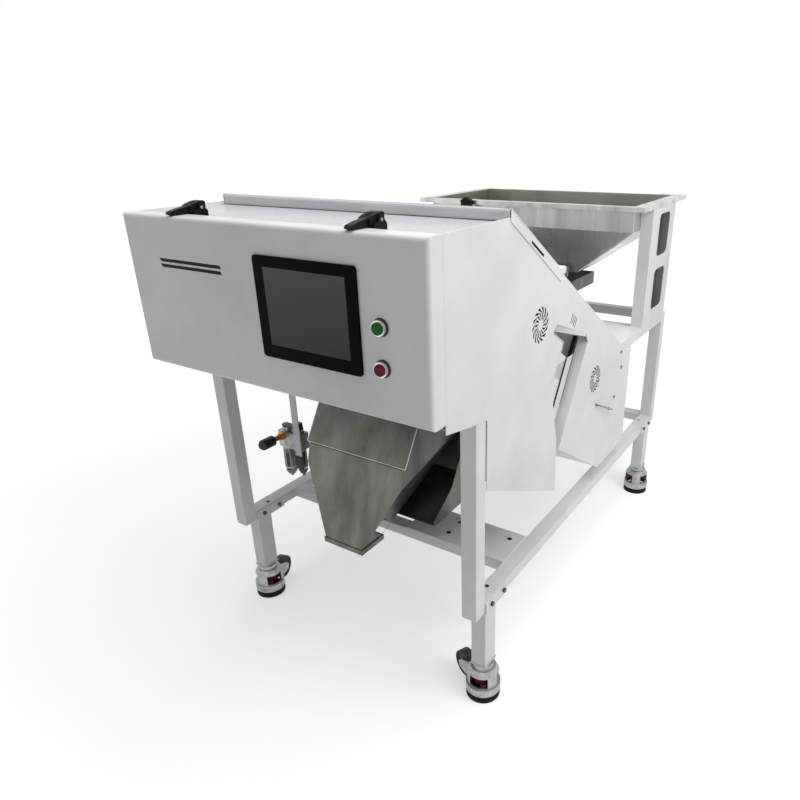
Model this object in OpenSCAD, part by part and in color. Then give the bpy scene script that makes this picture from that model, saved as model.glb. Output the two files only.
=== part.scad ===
// Optical colour sorter on a square-tube frame.
// Millimetres, +Z up, front towards -Y, origin on the floor under the middle of the outline.
// Modules work in a frame whose Y = 0 is the door's front face; place() moves them to the origin.

/* [Cabinet] */
// Overall width over door and lid
body_w = 834; // [760:2:920]
// Height of the door's lower edge above the floor
door_z = 841; // [820:1:860]
// Height of the door
door_h = 347; // [330:1:380]
// Thickness of the door pan
door_t = 44; // [38:1:50]
// Radius of the door's front edges
door_r = 9; // [4:0.5:14]
// Thickness of painted sheet
sheet_t = 2; // [1.5:0.25:3]
// Thickness of stainless sheet
steel_t = 1.5; // [1:0.25:2.5]
// Fall of the rear cover from level
slope_deg = 32; // [30:0.5:34]
// Start of the slope behind the door front
slope_y = 308; // [300:1:320]
// Length of the rear lid along the slope
lid_len = 318; // [280:1:340]
// Depth of the lid's side flanges
lid_flange = 22; // [14:1:30]
// Seat gap left between pieces that open
seat_gap = 0.4; // [0.2:0.1:1]

/* [Frame] */
// Square upright section
tube = 40; // [36:1:46]
// Height of the rail section
rail_h = 30; // [26:1:36]
// Wall of all tubes
tube_wall = 2; // [1.5:0.5:3]
// Top of the base rails above the floor
rail_top = 314; // [300:1:330]
// Top of the upper rails above the floor
upper_top = 724; // [710:1:735]
// Front face of the front uprights
upright_y = 160; // [150:1:170]
// Rear end of the rails
rail_end = 1530; // [1515:1:1560]
// Front face of the front cross beam
front_beam_y = 364; // [350:1:380]
// Front face of the beam under the hopper posts
mid_beam_y = 1257; // [1252:1:1280]

/* [Legs and casters] */
// Leg section across the rail
leg_w = 40; // [36:1:44]
// Leg section along the rail
leg_d = 50; // [44:1:56]
// Middle of the front legs behind the front uprights
front_leg_in = 30; // [28:1:40]
// Middle of the rear legs before the rear end of the rails
rear_leg_in = 68; // [67:1:80]
// Underside of the leg plates above the floor
leg_bottom = 106; // [105:0.5:108]
// Thickness of leg plates and saddles
saddle_t = 4; // [3:0.5:6]
// Radius of the caster wheels
wheel_r = 36; // [32:0.5:37]
// Width of the caster wheels
wheel_w = 26; // [22:1:28]
// Wheel axle distance from the swivel axis
wheel_trail = 72; // [70:0.5:76]
// Height of a raised wheel above the floor
wheel_lift = 4; // [3:0.5:6]
// Radius of the levelling pads
pad_r = 44; // [40:0.5:44.5]
// Radius of the adjusting wheel
adjust_r = 29; // [24:0.5:30]
// Radius of the caster body
skirt_r = 45; // [43:0.5:47]
// Running clearance of pins in bores
run_gap = 0.08; // [0.04:0.01:0.1]
// Gap round seated pieces
fit_gap = 0.3; // [0.2:0.05:0.5]

/* [Door fittings] */
// Display bezel width
screen_w = 263; // [240:1:280]
// Display bezel height
screen_h = 207; // [190:1:220]
// Display bezel centre from the door's right edge
screen_in = 286; // [270:1:300]
// Display bezel centre above the door's lower edge
screen_up = 185; // [175:1:195]
// Width of the display's active area
glass_w = 211; // [190:1:220]
// Height of the display's active area
glass_h = 158; // [150:1:170]
// Push-buttons from the door's right edge
button_in = 107; // [90:1:125]
// Upper push-button above the door's lower edge
start_up = 184; // [175:1:200]
// Lower push-button above the door's lower edge
stop_up = 106; // [90:1:120]
// Push-button ring diameter
ring_d = 30; // [28:0.5:34]
// Push-button cap diameter
cap_d = 23.5; // [20:0.5:25]
// Push-button stroke
stroke = 4; // [3:0.5:5]
// Distance of each latch from the door's side edge
latch_in = 169; // [150:1:195]
// Width of the latch levers
latch_w = 28; // [22:1:34]

/* [Infeed] */
// Overhang of the hopper rim past its posts
rim_over = 1; // [0.5:0.5:3]
// Front edge of the hopper rim
rim_y0 = 1157; // [1145:1:1165]
// Rear edge of the hopper rim
rim_y1 = 1628; // [1600:1:1660]
// Top of the hopper rim
rim_z = 1122; // [1110:1:1140]
// Height of the rim's edge
rim_h = 14; // [10:1:20]
// Inside of the hopper's upright band from the posts' outer faces
band_in = 41; // [36:1:60]
// Lower edge of the upright band
band_z = 1042; // [1030:1:1055]
// Inside width of the hopper outlet
outlet_w = 376; // [340:2:384]
// Lower edge of the hopper outlet
outlet_z = 900; // [896:1:915]
// Feeder tray width outside
tray_w = 386; // [370:2:400]
// Feeder tray floor height
tray_z = 838; // [836:1:842]
// Feeder tray wall height
tray_h = 40; // [34:1:46]
// Front end of the feeder tray
tray_y0 = 690; // [680:1:700]
// Rear end of the feeder tray
tray_y1 = 1358; // [1340:1:1380]

/* [Sorting] */
// Inside width of the chute
chute_w = 300; // [260:2:306]
// Length of the chute
chute_len = 188; // [170:1:196]
// Width of the accept hopper inside
accept_w = 314; // [312:2:330]
// Width of the accept hopper's mouth
mouth_w = 124; // [100:2:140]
// Lower edge of the accept mouth
mouth_z = 338; // [325:1:345]
// Width of the reject hopper inside
reject_w = 376; // [366:2:390]

/* [Hidden] */
$fn = 48;
top_z = door_z + door_h;
screen_z = door_z + screen_up;
start_z = door_z + start_up;
stop_z = door_z + stop_up;
screen_x = body_w / 2 - screen_in;
button_x = body_w / 2 - button_in;
latch_x = body_w / 2 - latch_in;
door_gap = 2;
plate_x = body_w / 2 - 2;
frame_x = plate_x - sheet_t;
inner_x = frame_x - tube;
rail_z = rail_top - rail_h;
upper_z = upper_top - rail_h;
rail_y = upright_y + tube;
leg_x = frame_x - tube / 2;
front_leg_y = rail_y + front_leg_in;
rear_leg_y = rail_end - rear_leg_in;
fall = tan(slope_deg);
rim_w = 2 * (frame_x + rim_over);
band_w = 2 * (frame_x - band_in);
button_front = -14;
y_mid = (button_front + rim_y1) / 2;

paint = "white";
stainless = "silver";
dark = "dimgray";
black = "black";

function dir(a) = [cos(a), sin(a)];
function arc(c, r, a0, a1, n) = [for (i = [0:n]) c + r * dir(a0 + (a1 - a0) * i / n)];
function unit(v) = v / norm(v);
function left_of(v) = [-v.y, v.x];
function side_of(p, i) = left_of(unit(p[i + 1] - p[i]));
function mitre(n0, n1) = (n0 + n1) / (1 + n0 * n1);
function shifted(p, i, t) = p[i] + t * mitre(side_of(p, max(i - 1, 0)), side_of(p, min(i, len(p) - 2)));
// A folded sheet: the path and its copy one thickness to the left.
function ribbon(p, t) = concat(p, [for (i = [len(p) - 1:-1:0]) shifted(p, i, t)]);
function slope_z(y) = top_z - (y - slope_y) * fall;
function round_rect(w, h, r) = concat(
  arc([w / 2 - r, h / 2 - r], r, 0, 90, 5), arc([r - w / 2, h / 2 - r], r, 90, 180, 5),
  arc([r - w / 2, r - h / 2], r, 180, 270, 5), arc([w / 2 - r, r - h / 2], r, 270, 360, 5));

module place() {
  translate([0, -y_mid, 0]) children();
}

module both_sides() {
  children();
  mirror([1, 0, 0]) children();
}

// A profile drawn in Y and Z, drawn out along X.
module along_x(x0, x1) {
  translate([x0, 0, 0]) rotate([90, 0, 90]) linear_extrude(x1 - x0) children();
}

// A profile drawn in X and Z, drawn out along Y.
module along_y(y0, y1) {
  translate([0, y1, 0]) rotate([90, 0, 0]) linear_extrude(y1 - y0) children();
}

// Frame of the sorting section: Y down the slope to the rear, Z up along the chute.
module tilted(p) {
  translate([0, p.x, p.y]) rotate([-slope_deg, 0, 0]) children();
}

// Block given by its two corners.
module block(a, b) {
  translate(a) cube(b - a);
}

// Square tube between two corners, hollow along the axis; stop closes the far end.
module tube_x(a, b) {
  w = [0, tube_wall, tube_wall];
  difference() {
    block(a, b);
    block(a + w - [1, 0, 0], b - w + [1, 0, 0]);
  }
}

module tube_y(a, b, stop = 0) {
  w = [tube_wall, 0, tube_wall];
  difference() {
    block(a, b);
    block(a + w - [0, 1, 0], b - w + [0, stop > 0 ? -stop : 1, 0]);
  }
}

module tube_z(a, b, stop = 0) {
  w = [tube_wall, tube_wall, 0];
  difference() {
    block(a, b);
    block(a + w + [0, 0, stop > 0 ? stop : -1], b - w + [0, 0, 1]);
  }
}

rail_hole_d = 12;
rail_hole_y = 30;
rail_hole_in = 28;

module base_rails() {
  color(paint) both_sides() difference() {
    tube_y([inner_x, rail_y, rail_z], [frame_x, rail_end, rail_top], tube_wall);
    for (y = [front_leg_y + rail_hole_y, rear_leg_y - rail_hole_y])
      translate([frame_x - rail_hole_in, y, rail_top - tube_wall - 1])
        cylinder(h = tube_wall + 2, d = rail_hole_d);
  }
}

module cross_beams() {
  color(paint) {
    tube_x([-inner_x, front_beam_y, rail_z], [inner_x, front_beam_y + tube, rail_top]);
    tube_x([-inner_x, rail_end - tube, rail_z], [inner_x, rail_end, rail_top]);
    tube_x([-inner_x, mid_beam_y, upper_z], [inner_x, mid_beam_y + tube, upper_top]);
    tube_x([-inner_x, rail_end - tube, upper_z], [inner_x, rail_end, upper_top]);
  }
}

upright_drop = 60;

module front_uprights() {
  color(paint) both_sides()
    tube_z([inner_x, upright_y, rail_z], [frame_x, rail_y, top_z - upright_drop], tube_wall);
}

upper_start = 990;
weld_gap = 0.1;

module rear_frame() {
  color(paint) both_sides() {
    tube_z([inner_x, rail_end - tube, rail_top], [frame_x, rail_end, upper_z - weld_gap]);
    tube_y([inner_x, upper_start, upper_z], [frame_x, rail_end, upper_top], tube_wall);
  }
}

saddle_h = 26;
saddle_fore = 27;
saddle_aft = 78;
plate_over = 3;
stem_d = 12;

// One leg standing under a rail; way is +1 where its saddle reaches to the rear.
module leg(y, way) {
  translate([leg_x, y, 0]) mirror([0, way > 0 ? 0 : 1, 0]) {
    difference() {
      translate([-leg_w / 2 - plate_over, -leg_d / 2 - plate_over, leg_bottom])
        cube([leg_w + 2 * plate_over, leg_d + 2 * plate_over, saddle_t]);
      translate([0, 0, leg_bottom - 1]) cylinder(h = saddle_t + 2, d = stem_d);
    }
    tube_z([-leg_w / 2, -leg_d / 2, leg_bottom + saddle_t], [leg_w / 2, leg_d / 2, rail_z - saddle_t]);
    along_y(-saddle_fore, saddle_aft) difference() {
      translate([-tube / 2 - saddle_t, rail_z - saddle_t])
        square([tube + 2 * saddle_t, saddle_t + saddle_h]);
      translate([-tube / 2, rail_z])
        square([tube, saddle_h + 1]);
    }
  }
}

module legs() {
  color(paint) both_sides() {
    leg(front_leg_y, 1);
    leg(rear_leg_y, -1);
  }
}

bolt_d = 13;
bolt_h = 5;
bolt_z = 12;
bolt_far = 58;
nut_d = 22;
nut_h = 9;
stem_low = 94;
washer_d = 26;
caster_top = leg_bottom - 2;

module saddle_bolts(y, way) {
  for (dy = [-2, bolt_far], side = [-1, 1])
    translate([leg_x + side * (tube / 2 + saddle_t), y + way * dy, rail_z + bolt_z])
      rotate([0, side * 90, 0]) cylinder(h = bolt_h, d = bolt_d, $fn = 6);
}

module caster_stem(y) {
  translate([leg_x, y, 0]) {
    translate([0, 0, stem_low]) cylinder(h = leg_bottom + saddle_t + nut_h - stem_low, d = stem_d);
    translate([0, 0, caster_top + 0.3]) cylinder(h = leg_bottom - caster_top - 0.3, d = washer_d);
    translate([0, 0, leg_bottom + saddle_t]) cylinder(h = nut_h, d = nut_d, $fn = 6);
  }
}

module leg_fasteners() {
  color(dark) both_sides() {
    saddle_bolts(front_leg_y, 1);
    saddle_bolts(rear_leg_y, -1);
    caster_stem(front_leg_y);
    caster_stem(rear_leg_y);
  }
}

deck_t = 3;
deck_x = 60;
deck_rear = 500;
bridge_y0 = 1050;
post_y0 = 1252;
bridge_y1 = post_y0;
deck_holes = [[193, 40], [193, 100], [33, 100]];
deck_hole_d = 10;

module deck_plates() {
  color(paint) {
    difference() {
      block([deck_x, front_beam_y, rail_top], [inner_x, deck_rear, rail_top + deck_t]);
      for (p = deck_holes)
        translate([inner_x - p.x, front_beam_y + p.y, rail_top - 1])
          cylinder(h = deck_t + 2, d = deck_hole_d);
    }
    block([-frame_x, bridge_y0, upper_top], [frame_x, bridge_y1, upper_top + deck_t]);
  }
}

// Corners of the sorting section in Y and Z.
rear_box = [590, 556];
rear_box_d = 330;
rear_box_h = 318;
front_box = [470, 660];
front_box_d = 200;
front_box_h = 230;
chute_foot = [573, 675];
along = [sin(slope_deg), cos(slope_deg)];
tail_y = 1146;
tail_z = 354;
skirt_rear = [582, 432];
skirt_front = 620;
box_edge = rear_box + rear_box_h * along;
opening_top = [540, 914];
opening_fore = [500, 838];
opening_low = [572, 590];
plate_front = door_t + door_gap;
plate_drop = 23;
notch_drop = 51;
plate_low = door_z - plate_drop;
plate_notch = door_z - notch_drop;
tail_foot = rear_box.x + (rear_box.y - tail_z) / fall;
slope_end = slope_y + (top_z - upper_z) / fall;
vent_c = [444, 935];
vent_r = 42;
vent_blades = 14;
tail_vent_c = [832, 680];
tail_vent_r = 40;
band_slots = [628, 908];
chamber_in = 25;
chamber_z = 785;
chamber_low = 630;

// Swirl vent: bent slots between an inner and an outer radius.
module swirl_vent(c, r) {
  for (k = [0:vent_blades - 1])
    translate(c) rotate(k * 360 / vent_blades) polygon(concat(
      [for (s = [0, 0.5, 1]) (0.3 + 0.7 * s) * r * dir(50 * s * s)],
      [for (s = [1, 0.5, 0]) (0.3 + 0.7 * s) * r * dir(50 * s * s + 13)]));
}

// Outline of a side plate; skirt holds the corners of the part that reaches down behind the upright.
module side_outline(skirt) {
  tail_end = max(tail_y, slope_end + tube);
  difference() {
    polygon(concat([
      [plate_front, plate_low], [plate_front, top_z], [slope_y, top_z],
      [slope_end, upper_z], [tail_end, upper_z], [tail_end, tail_z],
      [tail_foot, tail_z], rear_box, box_edge - 14 * along, box_edge - [22, -13],
      opening_top, opening_top - [18, 14], opening_fore + [0, 30], opening_fore, opening_low],
      skirt, [[rail_y + door_gap, plate_notch], [upright_y, plate_notch + 6]]));
    lid_slot();
    swirl_vent(vent_c, vent_r);
    swirl_vent(tail_vent_c, tail_vent_r);
    for (k = [0:3])
      translate(band_slots + k * [9, -6]) rotate(-slope_deg + 90) square([26, 4], center = true);
  }
}

// Cover low in the opening, seated on the front box.
module chamber_cover() {
  x = frame_x - chamber_in;
  gap = (seal_d + door_gap) / cos(slope_deg);
  along_x(x, x + sheet_t) polygon([
    front_box, front_box + (chamber_z - front_box.y) / cos(slope_deg) * along,
    [rear_box.x + (chamber_z - rear_box.y) * fall - gap, chamber_z],
    [rear_box.x + (chamber_low - rear_box.y) * fall - gap, chamber_low]]);
}

module side_plate_right() {
  color(paint) {
    along_x(frame_x, plate_x) side_outline([skirt_rear, [rail_y + door_gap, skirt_front]]);
    chamber_cover();
  }
}

module side_plate_left() {
  color(paint) mirror([1, 0, 0]) {
    along_x(frame_x, plate_x) side_outline([]);
    chamber_cover();
  }
}

panel_drop = 8;
lid_back = 20;
panel_z = top_z - panel_drop;
panel_in = 6;
panel_rear = slope_y - lid_back - panel_in;
panel_fold = 20;

cover_lap = 12.7;
cover_clear = 4.4;
cover_y0 = slope_y - lid_back + lid_len * cos(slope_deg) - cover_lap;
cover_y1 = slope_y + (top_z - tray_z - tray_h - panel_fold - cover_clear) / fall;

module top_panels() {
  color(paint) {
    along_x(-frame_x, frame_x) polygon(ribbon([
      [plate_front, panel_z - panel_fold], [plate_front, panel_z], [panel_rear, panel_z],
      [panel_rear, panel_z - panel_fold]], -sheet_t));
    along_x(-frame_x, frame_x) polygon(ribbon([
      [cover_y0, slope_z(cover_y0)], [cover_y1, slope_z(cover_y1)],
      [cover_y1, slope_z(cover_y1) - panel_fold]], -sheet_t));
  }
}

belly_drop = 21;
belly_in = 16;
belly_z = door_z - belly_drop;
belly_y0 = door_t + belly_in;
belly_y1 = 300;

module belly_panel() {
  color(paint) difference() {
    block([-frame_x, belly_y0, belly_z], [frame_x, belly_y1, belly_z + sheet_t]);
    both_sides()
      block([inner_x - door_gap, upright_y - door_gap, belly_z - 1],
        [frame_x + 1, rail_y + door_gap, belly_z + sheet_t + 1]);
  }
}

hinge_in = 137;
hinge_x = body_w / 2 - hinge_in;
hinge_y = plate_front;
hinge_drop = 5;
hinge_z = door_z - hinge_drop;
hinge_pin_r = 4;
hinge_ear_r = 8;
hinge_leaf = 16;
leaf_reach = 20;
hinge_ear = 15;
lid_front = slope_y - lid_back;
lid_axis_in = 8;
lid_axis_up = 2;
lid_hinge_y = lid_front + lid_axis_in;
lid_hinge_z = top_z + lid_axis_up;
lid_leaf_low = 19;
lid_leaf_back = 12;
lid_leaf_t = 3;
lid_pin_r = 2;
lid_ear_r = 3.8;

// A fixed leaf with the pin that stands out on both sides of it.
module door_pin() {
  block([hinge_x - hinge_leaf / 2, hinge_y, belly_z + sheet_t],
    [hinge_x + hinge_leaf / 2, belly_y0 + leaf_reach, hinge_z + hinge_pin_r]);
  along_x(hinge_x - hinge_leaf / 2 - hinge_ear - 1, hinge_x + hinge_leaf / 2 + hinge_ear + 1)
    translate([hinge_y, hinge_z]) circle(hinge_pin_r);
}

// A bent leaf that passes under the lid's lip and comes up behind it.
module lid_pin() {
  axis = [lid_hinge_y, lid_hinge_z];
  along_x(hinge_x - hinge_leaf / 2, hinge_x + hinge_leaf / 2) polygon(ribbon([
    [panel_rear, axis.y - lid_leaf_low], axis + [lid_leaf_back, -lid_leaf_low],
    axis + [lid_leaf_back, -7], axis + [-2, 0.5]], lid_leaf_t));
  along_x(hinge_x - hinge_leaf / 2 - hinge_ear - 1, hinge_x + hinge_leaf / 2 + hinge_ear + 1)
    translate([lid_hinge_y, lid_hinge_z]) circle(lid_pin_r);
}

module hinge_pins() {
  color(dark) both_sides() {
    door_pin();
    lid_pin();
  }
}

latch_back = 30;
latch_rise = 12;
latch_pin_y = door_t + latch_back;
latch_pin_z = top_z + latch_rise;
latch_pin_r = 2.5;
latch_ear = 4;
latch_side = latch_w / 2 + 0.5;
latch_fore = 24;
latch_aft = 15;
latch_ear_r = 8;
latch_base_t = 4;

module latch_base() {
  side = latch_side + latch_ear;
  translate([latch_x, 0, 0]) {
    block([-side, latch_pin_y - latch_fore, panel_z], [side, latch_pin_y + latch_aft, panel_z + latch_base_t]);
    for (x = [-side, latch_side])
      along_x(x, x + latch_ear) {
        translate([latch_pin_y, latch_pin_z]) circle(latch_ear_r);
        translate([latch_pin_y, panel_z]) polygon([
          [-latch_fore, 0], [latch_aft, 0], [latch_aft, latch_rise], [latch_ear_r, latch_pin_z - panel_z],
          [-latch_ear_r, latch_pin_z - panel_z], [-latch_fore, latch_rise]]);
      }
    along_x(-side, side) translate([latch_pin_y, latch_pin_z]) circle(latch_pin_r);
  }
}

module latch_bases() {
  color(black) both_sides() latch_base();
}

latch_nose_in = 5;

// Broad heel round the pin and a narrower nose that presses on the door's top edge.
module latch_lever() {
  z = top_z + seat_gap;
  step = plate_front;
  pin = latch_pin_y;
  translate([latch_x, 0, 0]) difference() {
    union() {
      along_x(-latch_w / 2, latch_w / 2) polygon([
        [step, z], [pin + 8, z + 2], [pin + 14, z + 11], [pin + 15, z + 22],
        [pin + 11, z + 25], [pin - 4, z + 24], [pin - 20, z + 20], [step, z + 16]]);
      along_x(latch_nose_in - latch_w / 2, latch_w / 2 - latch_nose_in) polygon([
        [2, z + 2], [8, z], [step, z], [step, z + 16], [24, z + 13], [5, z + 9], [0, z + 5]]);
    }
    along_x(-latch_w, latch_w) translate([pin, latch_pin_z]) circle(latch_pin_r + run_gap);
  }
}

module latch_lever_right() {
  color(black) latch_lever();
}

module latch_lever_left() {
  color(black) mirror([1, 0, 0]) latch_lever();
}

// Optical boxes, open where the glass sits.
chute_clear = 1.5;
window_w = chute_w + 2 * (steel_t + chute_clear);
window_h = 60;
window_z = 30;
glass_t = 6;
glass_over = 8;
front_window_z = 4;

module optical_box(depth, height, face_y, slot_z) {
  difference() {
    block([-frame_x, 0, 0], [frame_x, depth, height]);
    block([-frame_x - 1, sheet_t, sheet_t], [frame_x + 1, depth - sheet_t, height - sheet_t]);
    block([-window_w / 2, face_y - 1, slot_z], [window_w / 2, face_y + sheet_t + 1, slot_z + window_h]);
  }
}

module rear_camera_box() {
  color(paint) tilted(rear_box) optical_box(rear_box_d, rear_box_h, 0, window_z);
}

module front_camera_box() {
  color(paint) tilted(front_box) translate([0, -front_box_d, 0])
    optical_box(front_box_d, front_box_h, front_box_d - sheet_t, front_window_z);
}

module inspection_glasses() {
  color("lightblue") {
    tilted(rear_box)
      block([-window_w / 2 - glass_over, sheet_t, window_z - glass_over],
        [window_w / 2 + glass_over, sheet_t + glass_t, window_z + window_h + glass_over]);
    tilted(front_box)
      block([-window_w / 2 - glass_over, -sheet_t - glass_t, sheet_t],
        [window_w / 2 + glass_over, -sheet_t, front_window_z + window_h + glass_over]);
  }
}

cam_w = 70;
cam_h = 60;
cam_d = 70;
lens_r = 22;
lens_l = 40;

// A line camera on the far wall of its box, lens towards the window.
module camera(face, way, z) {
  far = face + way * cam_d;
  block([-cam_w / 2, min(face, far), z], [cam_w / 2, max(face, far), z + cam_h]);
  translate([0, far, z + cam_h / 2]) rotate([-90 * way, 0, 0]) cylinder(h = lens_l, r = lens_r);
}

module cameras() {
  color(dark) {
    tilted(rear_box) camera(rear_box_d - sheet_t, -1, window_z);
    tilted(front_box) camera(sheet_t - front_box_d, 1, sheet_t);
  }
}

lamp_d = 24;
lamp_h = 20;

module light_bars() {
  color("lightyellow") {
    tilted(rear_box) for (z = [max(window_z - glass_over - lamp_h, sheet_t), window_z + window_h + glass_over])
      block([-window_w / 2, sheet_t, z], [window_w / 2, sheet_t + lamp_d, z + lamp_h]);
    tilted(front_box) translate([0, 0, front_window_z + window_h + glass_over])
      block([-window_w / 2, -sheet_t - lamp_d, 0], [window_w / 2, -sheet_t, lamp_h]);
  }
}

chute_wall = 24;
chute_gap = (rear_box.x - chute_foot.x) * cos(slope_deg) - (rear_box.y - chute_foot.y) * sin(slope_deg);
post_w = 16;
post_x = 110;
post_low = 30;
post_high = 150;

module chute() {
  color(stainless) tilted(chute_foot) {
    difference() {
      block([-chute_w / 2 - steel_t, -chute_wall, 0], [chute_w / 2 + steel_t, steel_t, chute_len]);
      block([-chute_w / 2, -chute_wall - 1, -1], [chute_w / 2, 0, chute_len + 1]);
    }
    for (x = [-post_x, post_x], z = [post_low, post_high])
      block([x - post_w / 2, steel_t, z], [x + post_w / 2, chute_gap, z + post_w]);
  }
}

seal_out = 7;
seal_x = inner_x + seal_out;
seal_w = 12;
seal_d = 14;
seal_z0 = 120;
seal_z1 = 312;

module edge_seals() {
  color(black) both_sides() tilted(rear_box)
    block([seal_x - seal_w / 2, -seal_d, seal_z0], [seal_x + seal_w / 2, 0, seal_z1]);
}

man_y0 = -70;
man_y1 = -20;
man_h = 40;
nozzle_n = 12;
nozzle_d = 6;
valve_n = 10;
valve_w = 24;
valve_d = 30;

module ejector_manifold() {
  color("gainsboro") tilted(front_box) difference() {
    block([-accept_w / 2, man_y0, -man_h], [accept_w / 2, man_y1, 0]);
    for (k = [0:nozzle_n - 1])
      translate([(k - (nozzle_n - 1) / 2) * accept_w / (nozzle_n + 1), man_y1 + 1, -man_h / 2])
        rotate([90, 0, 0]) cylinder(h = 20, d = nozzle_d);
  }
}

module ejector_valves() {
  color(dark) tilted(front_box) for (k = [0:valve_n - 1])
    translate([(k - (valve_n - 1) / 2) * accept_w / (valve_n + 1), 0, 0])
      block([-valve_w / 2, man_y0 - valve_d, -man_h + 6], [valve_w / 2, man_y0, -1]);
}

bay_y0 = belly_y0 + leaf_reach + 4;
bay_y1 = upright_y - 8;

computer_in = 93;
computer_w = 300;
computer_h = 190;
supply_x = 60;
supply_w = 190;
supply_h = 110;

module control_computer() {
  color(dark) translate([computer_in - frame_x, bay_y0, belly_z + sheet_t])
    cube([computer_w, bay_y1 - bay_y0, computer_h]);
}

module power_supply() {
  color("silver") translate([supply_x, bay_y0, belly_z + sheet_t])
    cube([supply_w, bay_y1 - bay_y0, supply_h]);
}

// Accept hopper: side profile points in Y and Z.
cover_low = [241, 580];
cover_len = 145;
cover_t = 3;
cover_high = cover_low + cover_len * along;
hop_front = [228, 530];
hop_rear = [548, 605];
mouth_y0 = 172;
mouth_y1 = 258;
collar_h = 14;
collar_t = 3;

// A loft between the sloped upper ring and the mouth, made smaller all round by t.
module hopper_loft(t) {
  w = accept_w / 2 - t;
  m = mouth_w / 2 - t;
  top = mouth_z + collar_h;
  a = hop_front + [t, 0];
  b = hop_rear - [t * 1.5, 0];
  rise = t > 0 ? 2 * t : 0;
  polyhedron(
    points = [
      [-m, mouth_y0 + t, top - rise], [m, mouth_y0 + t, top - rise],
      [m, mouth_y1 - t, top - rise], [-m, mouth_y1 - t, top - rise],
      [-w, a.x, a.y + rise], [w, a.x, a.y + rise], [w, b.x, b.y + rise], [-w, b.x, b.y + rise]],
    faces = [
      [0, 1, 2, 3], [7, 6, 5, 4], [4, 5, 1, 0], [5, 6, 2],
      [5, 2, 1], [6, 7, 3, 2], [7, 4, 3], [4, 0, 3]]);
}

notch = [[193, 394], [208, 452], [284, 378], [252, 352], [241, 352]];
wing_part = 0.4;
wing_in = 60;

module accept_hopper() {
  w = accept_w / 2;
  rear_foot = [mouth_y1, mouth_z + collar_h];
  wing = ribbon([hop_rear + wing_part * (rear_foot - hop_rear), hop_rear], -2 * steel_t);
  color(stainless) {
    difference() {
      hopper_loft(0);
      hopper_loft(steel_t);
      along_x(mouth_w / 4, w) polygon(notch);
    }
    both_sides() along_x(w - steel_t, w) polygon([hop_front, hop_rear, [400, 636], cover_high, cover_low]);
    along_x(-w, w) polygon(ribbon([hop_front, cover_low], -steel_t));
    both_sides() along_x(wing_in, reject_w / 2) translate([-steel_t / 2, steel_t / 2]) polygon(wing);
    translate([0, 0, mouth_z]) difference() {
      block([-mouth_w / 2 - collar_t, mouth_y0 - collar_t, 0],
        [mouth_w / 2 + collar_t, mouth_y1 + collar_t, collar_h]);
      block([steel_t - mouth_w / 2, mouth_y0 + steel_t, -1],
        [mouth_w / 2 - steel_t, mouth_y1 - steel_t, collar_h + 1]);
    }
  }
}

cover_over = 8;
cover_lip = 12;

module accept_cover() {
  w = accept_w / 2 + cover_over;
  color(stainless) tilted(cover_low) {
    block([-w, -cover_t, 2], [w, 0, cover_len]);
    block([-w, -cover_t - cover_lip, cover_len - cover_t], [w, -cover_t, cover_len]);
  }
}

reject_lip = [322, 385];
reject_rear = 602;
reject_floor = 520;

module reject_hopper() {
  w = reject_w / 2;
  top_rear = rear_box.y - (reject_rear - rear_box.x) * fall;
  color(stainless) {
    both_sides() along_x(w, w + steel_t) polygon([
      reject_lip, [reject_rear, reject_lip.y + 6], [reject_rear, top_rear], rear_box, [576, 600],
      [hop_rear.x, hop_rear.y + 14], [470, 560], [410, 460], [reject_lip.x, reject_lip.y + 15]]);
    along_x(-w, w) polygon(ribbon([reject_lip, [reject_rear - steel_t / 2, reject_floor]], steel_t));
    along_x(-w, w) polygon(ribbon([[reject_rear, reject_floor - 8], [reject_rear, top_rear]], steel_t));
  }
}

air_in = 61;
air_x = air_in - frame_x;
air_y = 342;
air_z = 482;
air_step = 50;
air_body_d = 36;
air_body_h = 52;
air_left = 20;
air_right = 18;
bracket_t = 3;
bracket_w = 24;
bracket_in = 2;
bracket_low = 20;
bracket_bend = 208;
bracket_top = 258;
bracket_fore = 12;
bracket_foot = 40;
bracket_x = air_x + air_step - bracket_in;

// Strip bent to hang from the belly panel in front of the unit.
module air_bracket() {
  y0 = air_y - air_body_d / 2;
  y1 = belly_y1 - bracket_fore;
  color(paint) along_x(bracket_x, bracket_x + bracket_w) polygon(ribbon([
    [y0, air_z - bracket_low], [y0, air_z + bracket_bend], [y1, air_z + bracket_top], [y1, belly_z],
    [belly_y1 - bracket_foot, belly_z]], bracket_t));
}

bowl_r = 17;
bowl_h = 96;
bowl_wall = 2.5;
guard_r = 14;
guard_h = 82;

module air_filter_body() {
  color("gray") {
    block([air_x - air_left, air_y - air_body_d / 2, air_z],
      [air_x + air_step + air_right, air_y + air_body_d / 2, air_z + air_body_h]);
    translate([air_x, air_y, air_z + air_body_h]) cylinder(h = 10, r = 12);
    translate([air_x + air_step, air_y, air_z + air_body_h]) cylinder(h = 6, r = 14);
  }
}

// A round bowl hung under the body, hollow, with a drain at its foot.
module bowl(r, h) {
  rotate_extrude() polygon([
    [0, -h - 8], [4, -h - 8], [4, -h], [r * 0.6, -h], [r, -h + 10], [r, 0], [r - bowl_wall, 0],
    [r - bowl_wall, -h + 11], [r * 0.6 - 1, -h + bowl_wall], [0, -h + bowl_wall]]);
}

module air_filter_bowls() {
  color("whitesmoke") {
    translate([air_x, air_y, air_z]) bowl(bowl_r, bowl_h);
    translate([air_x + air_step, air_y, air_z]) bowl(guard_r, guard_h);
  }
}

nipple_r = 8;
nipple_l = 42;
hex_r = 12;
hex_l = 14;
inlet_up = 38;
inlet_z = air_z + inlet_up;
inlet_cap_r = 16;
inlet_cap_l = 46;

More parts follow.
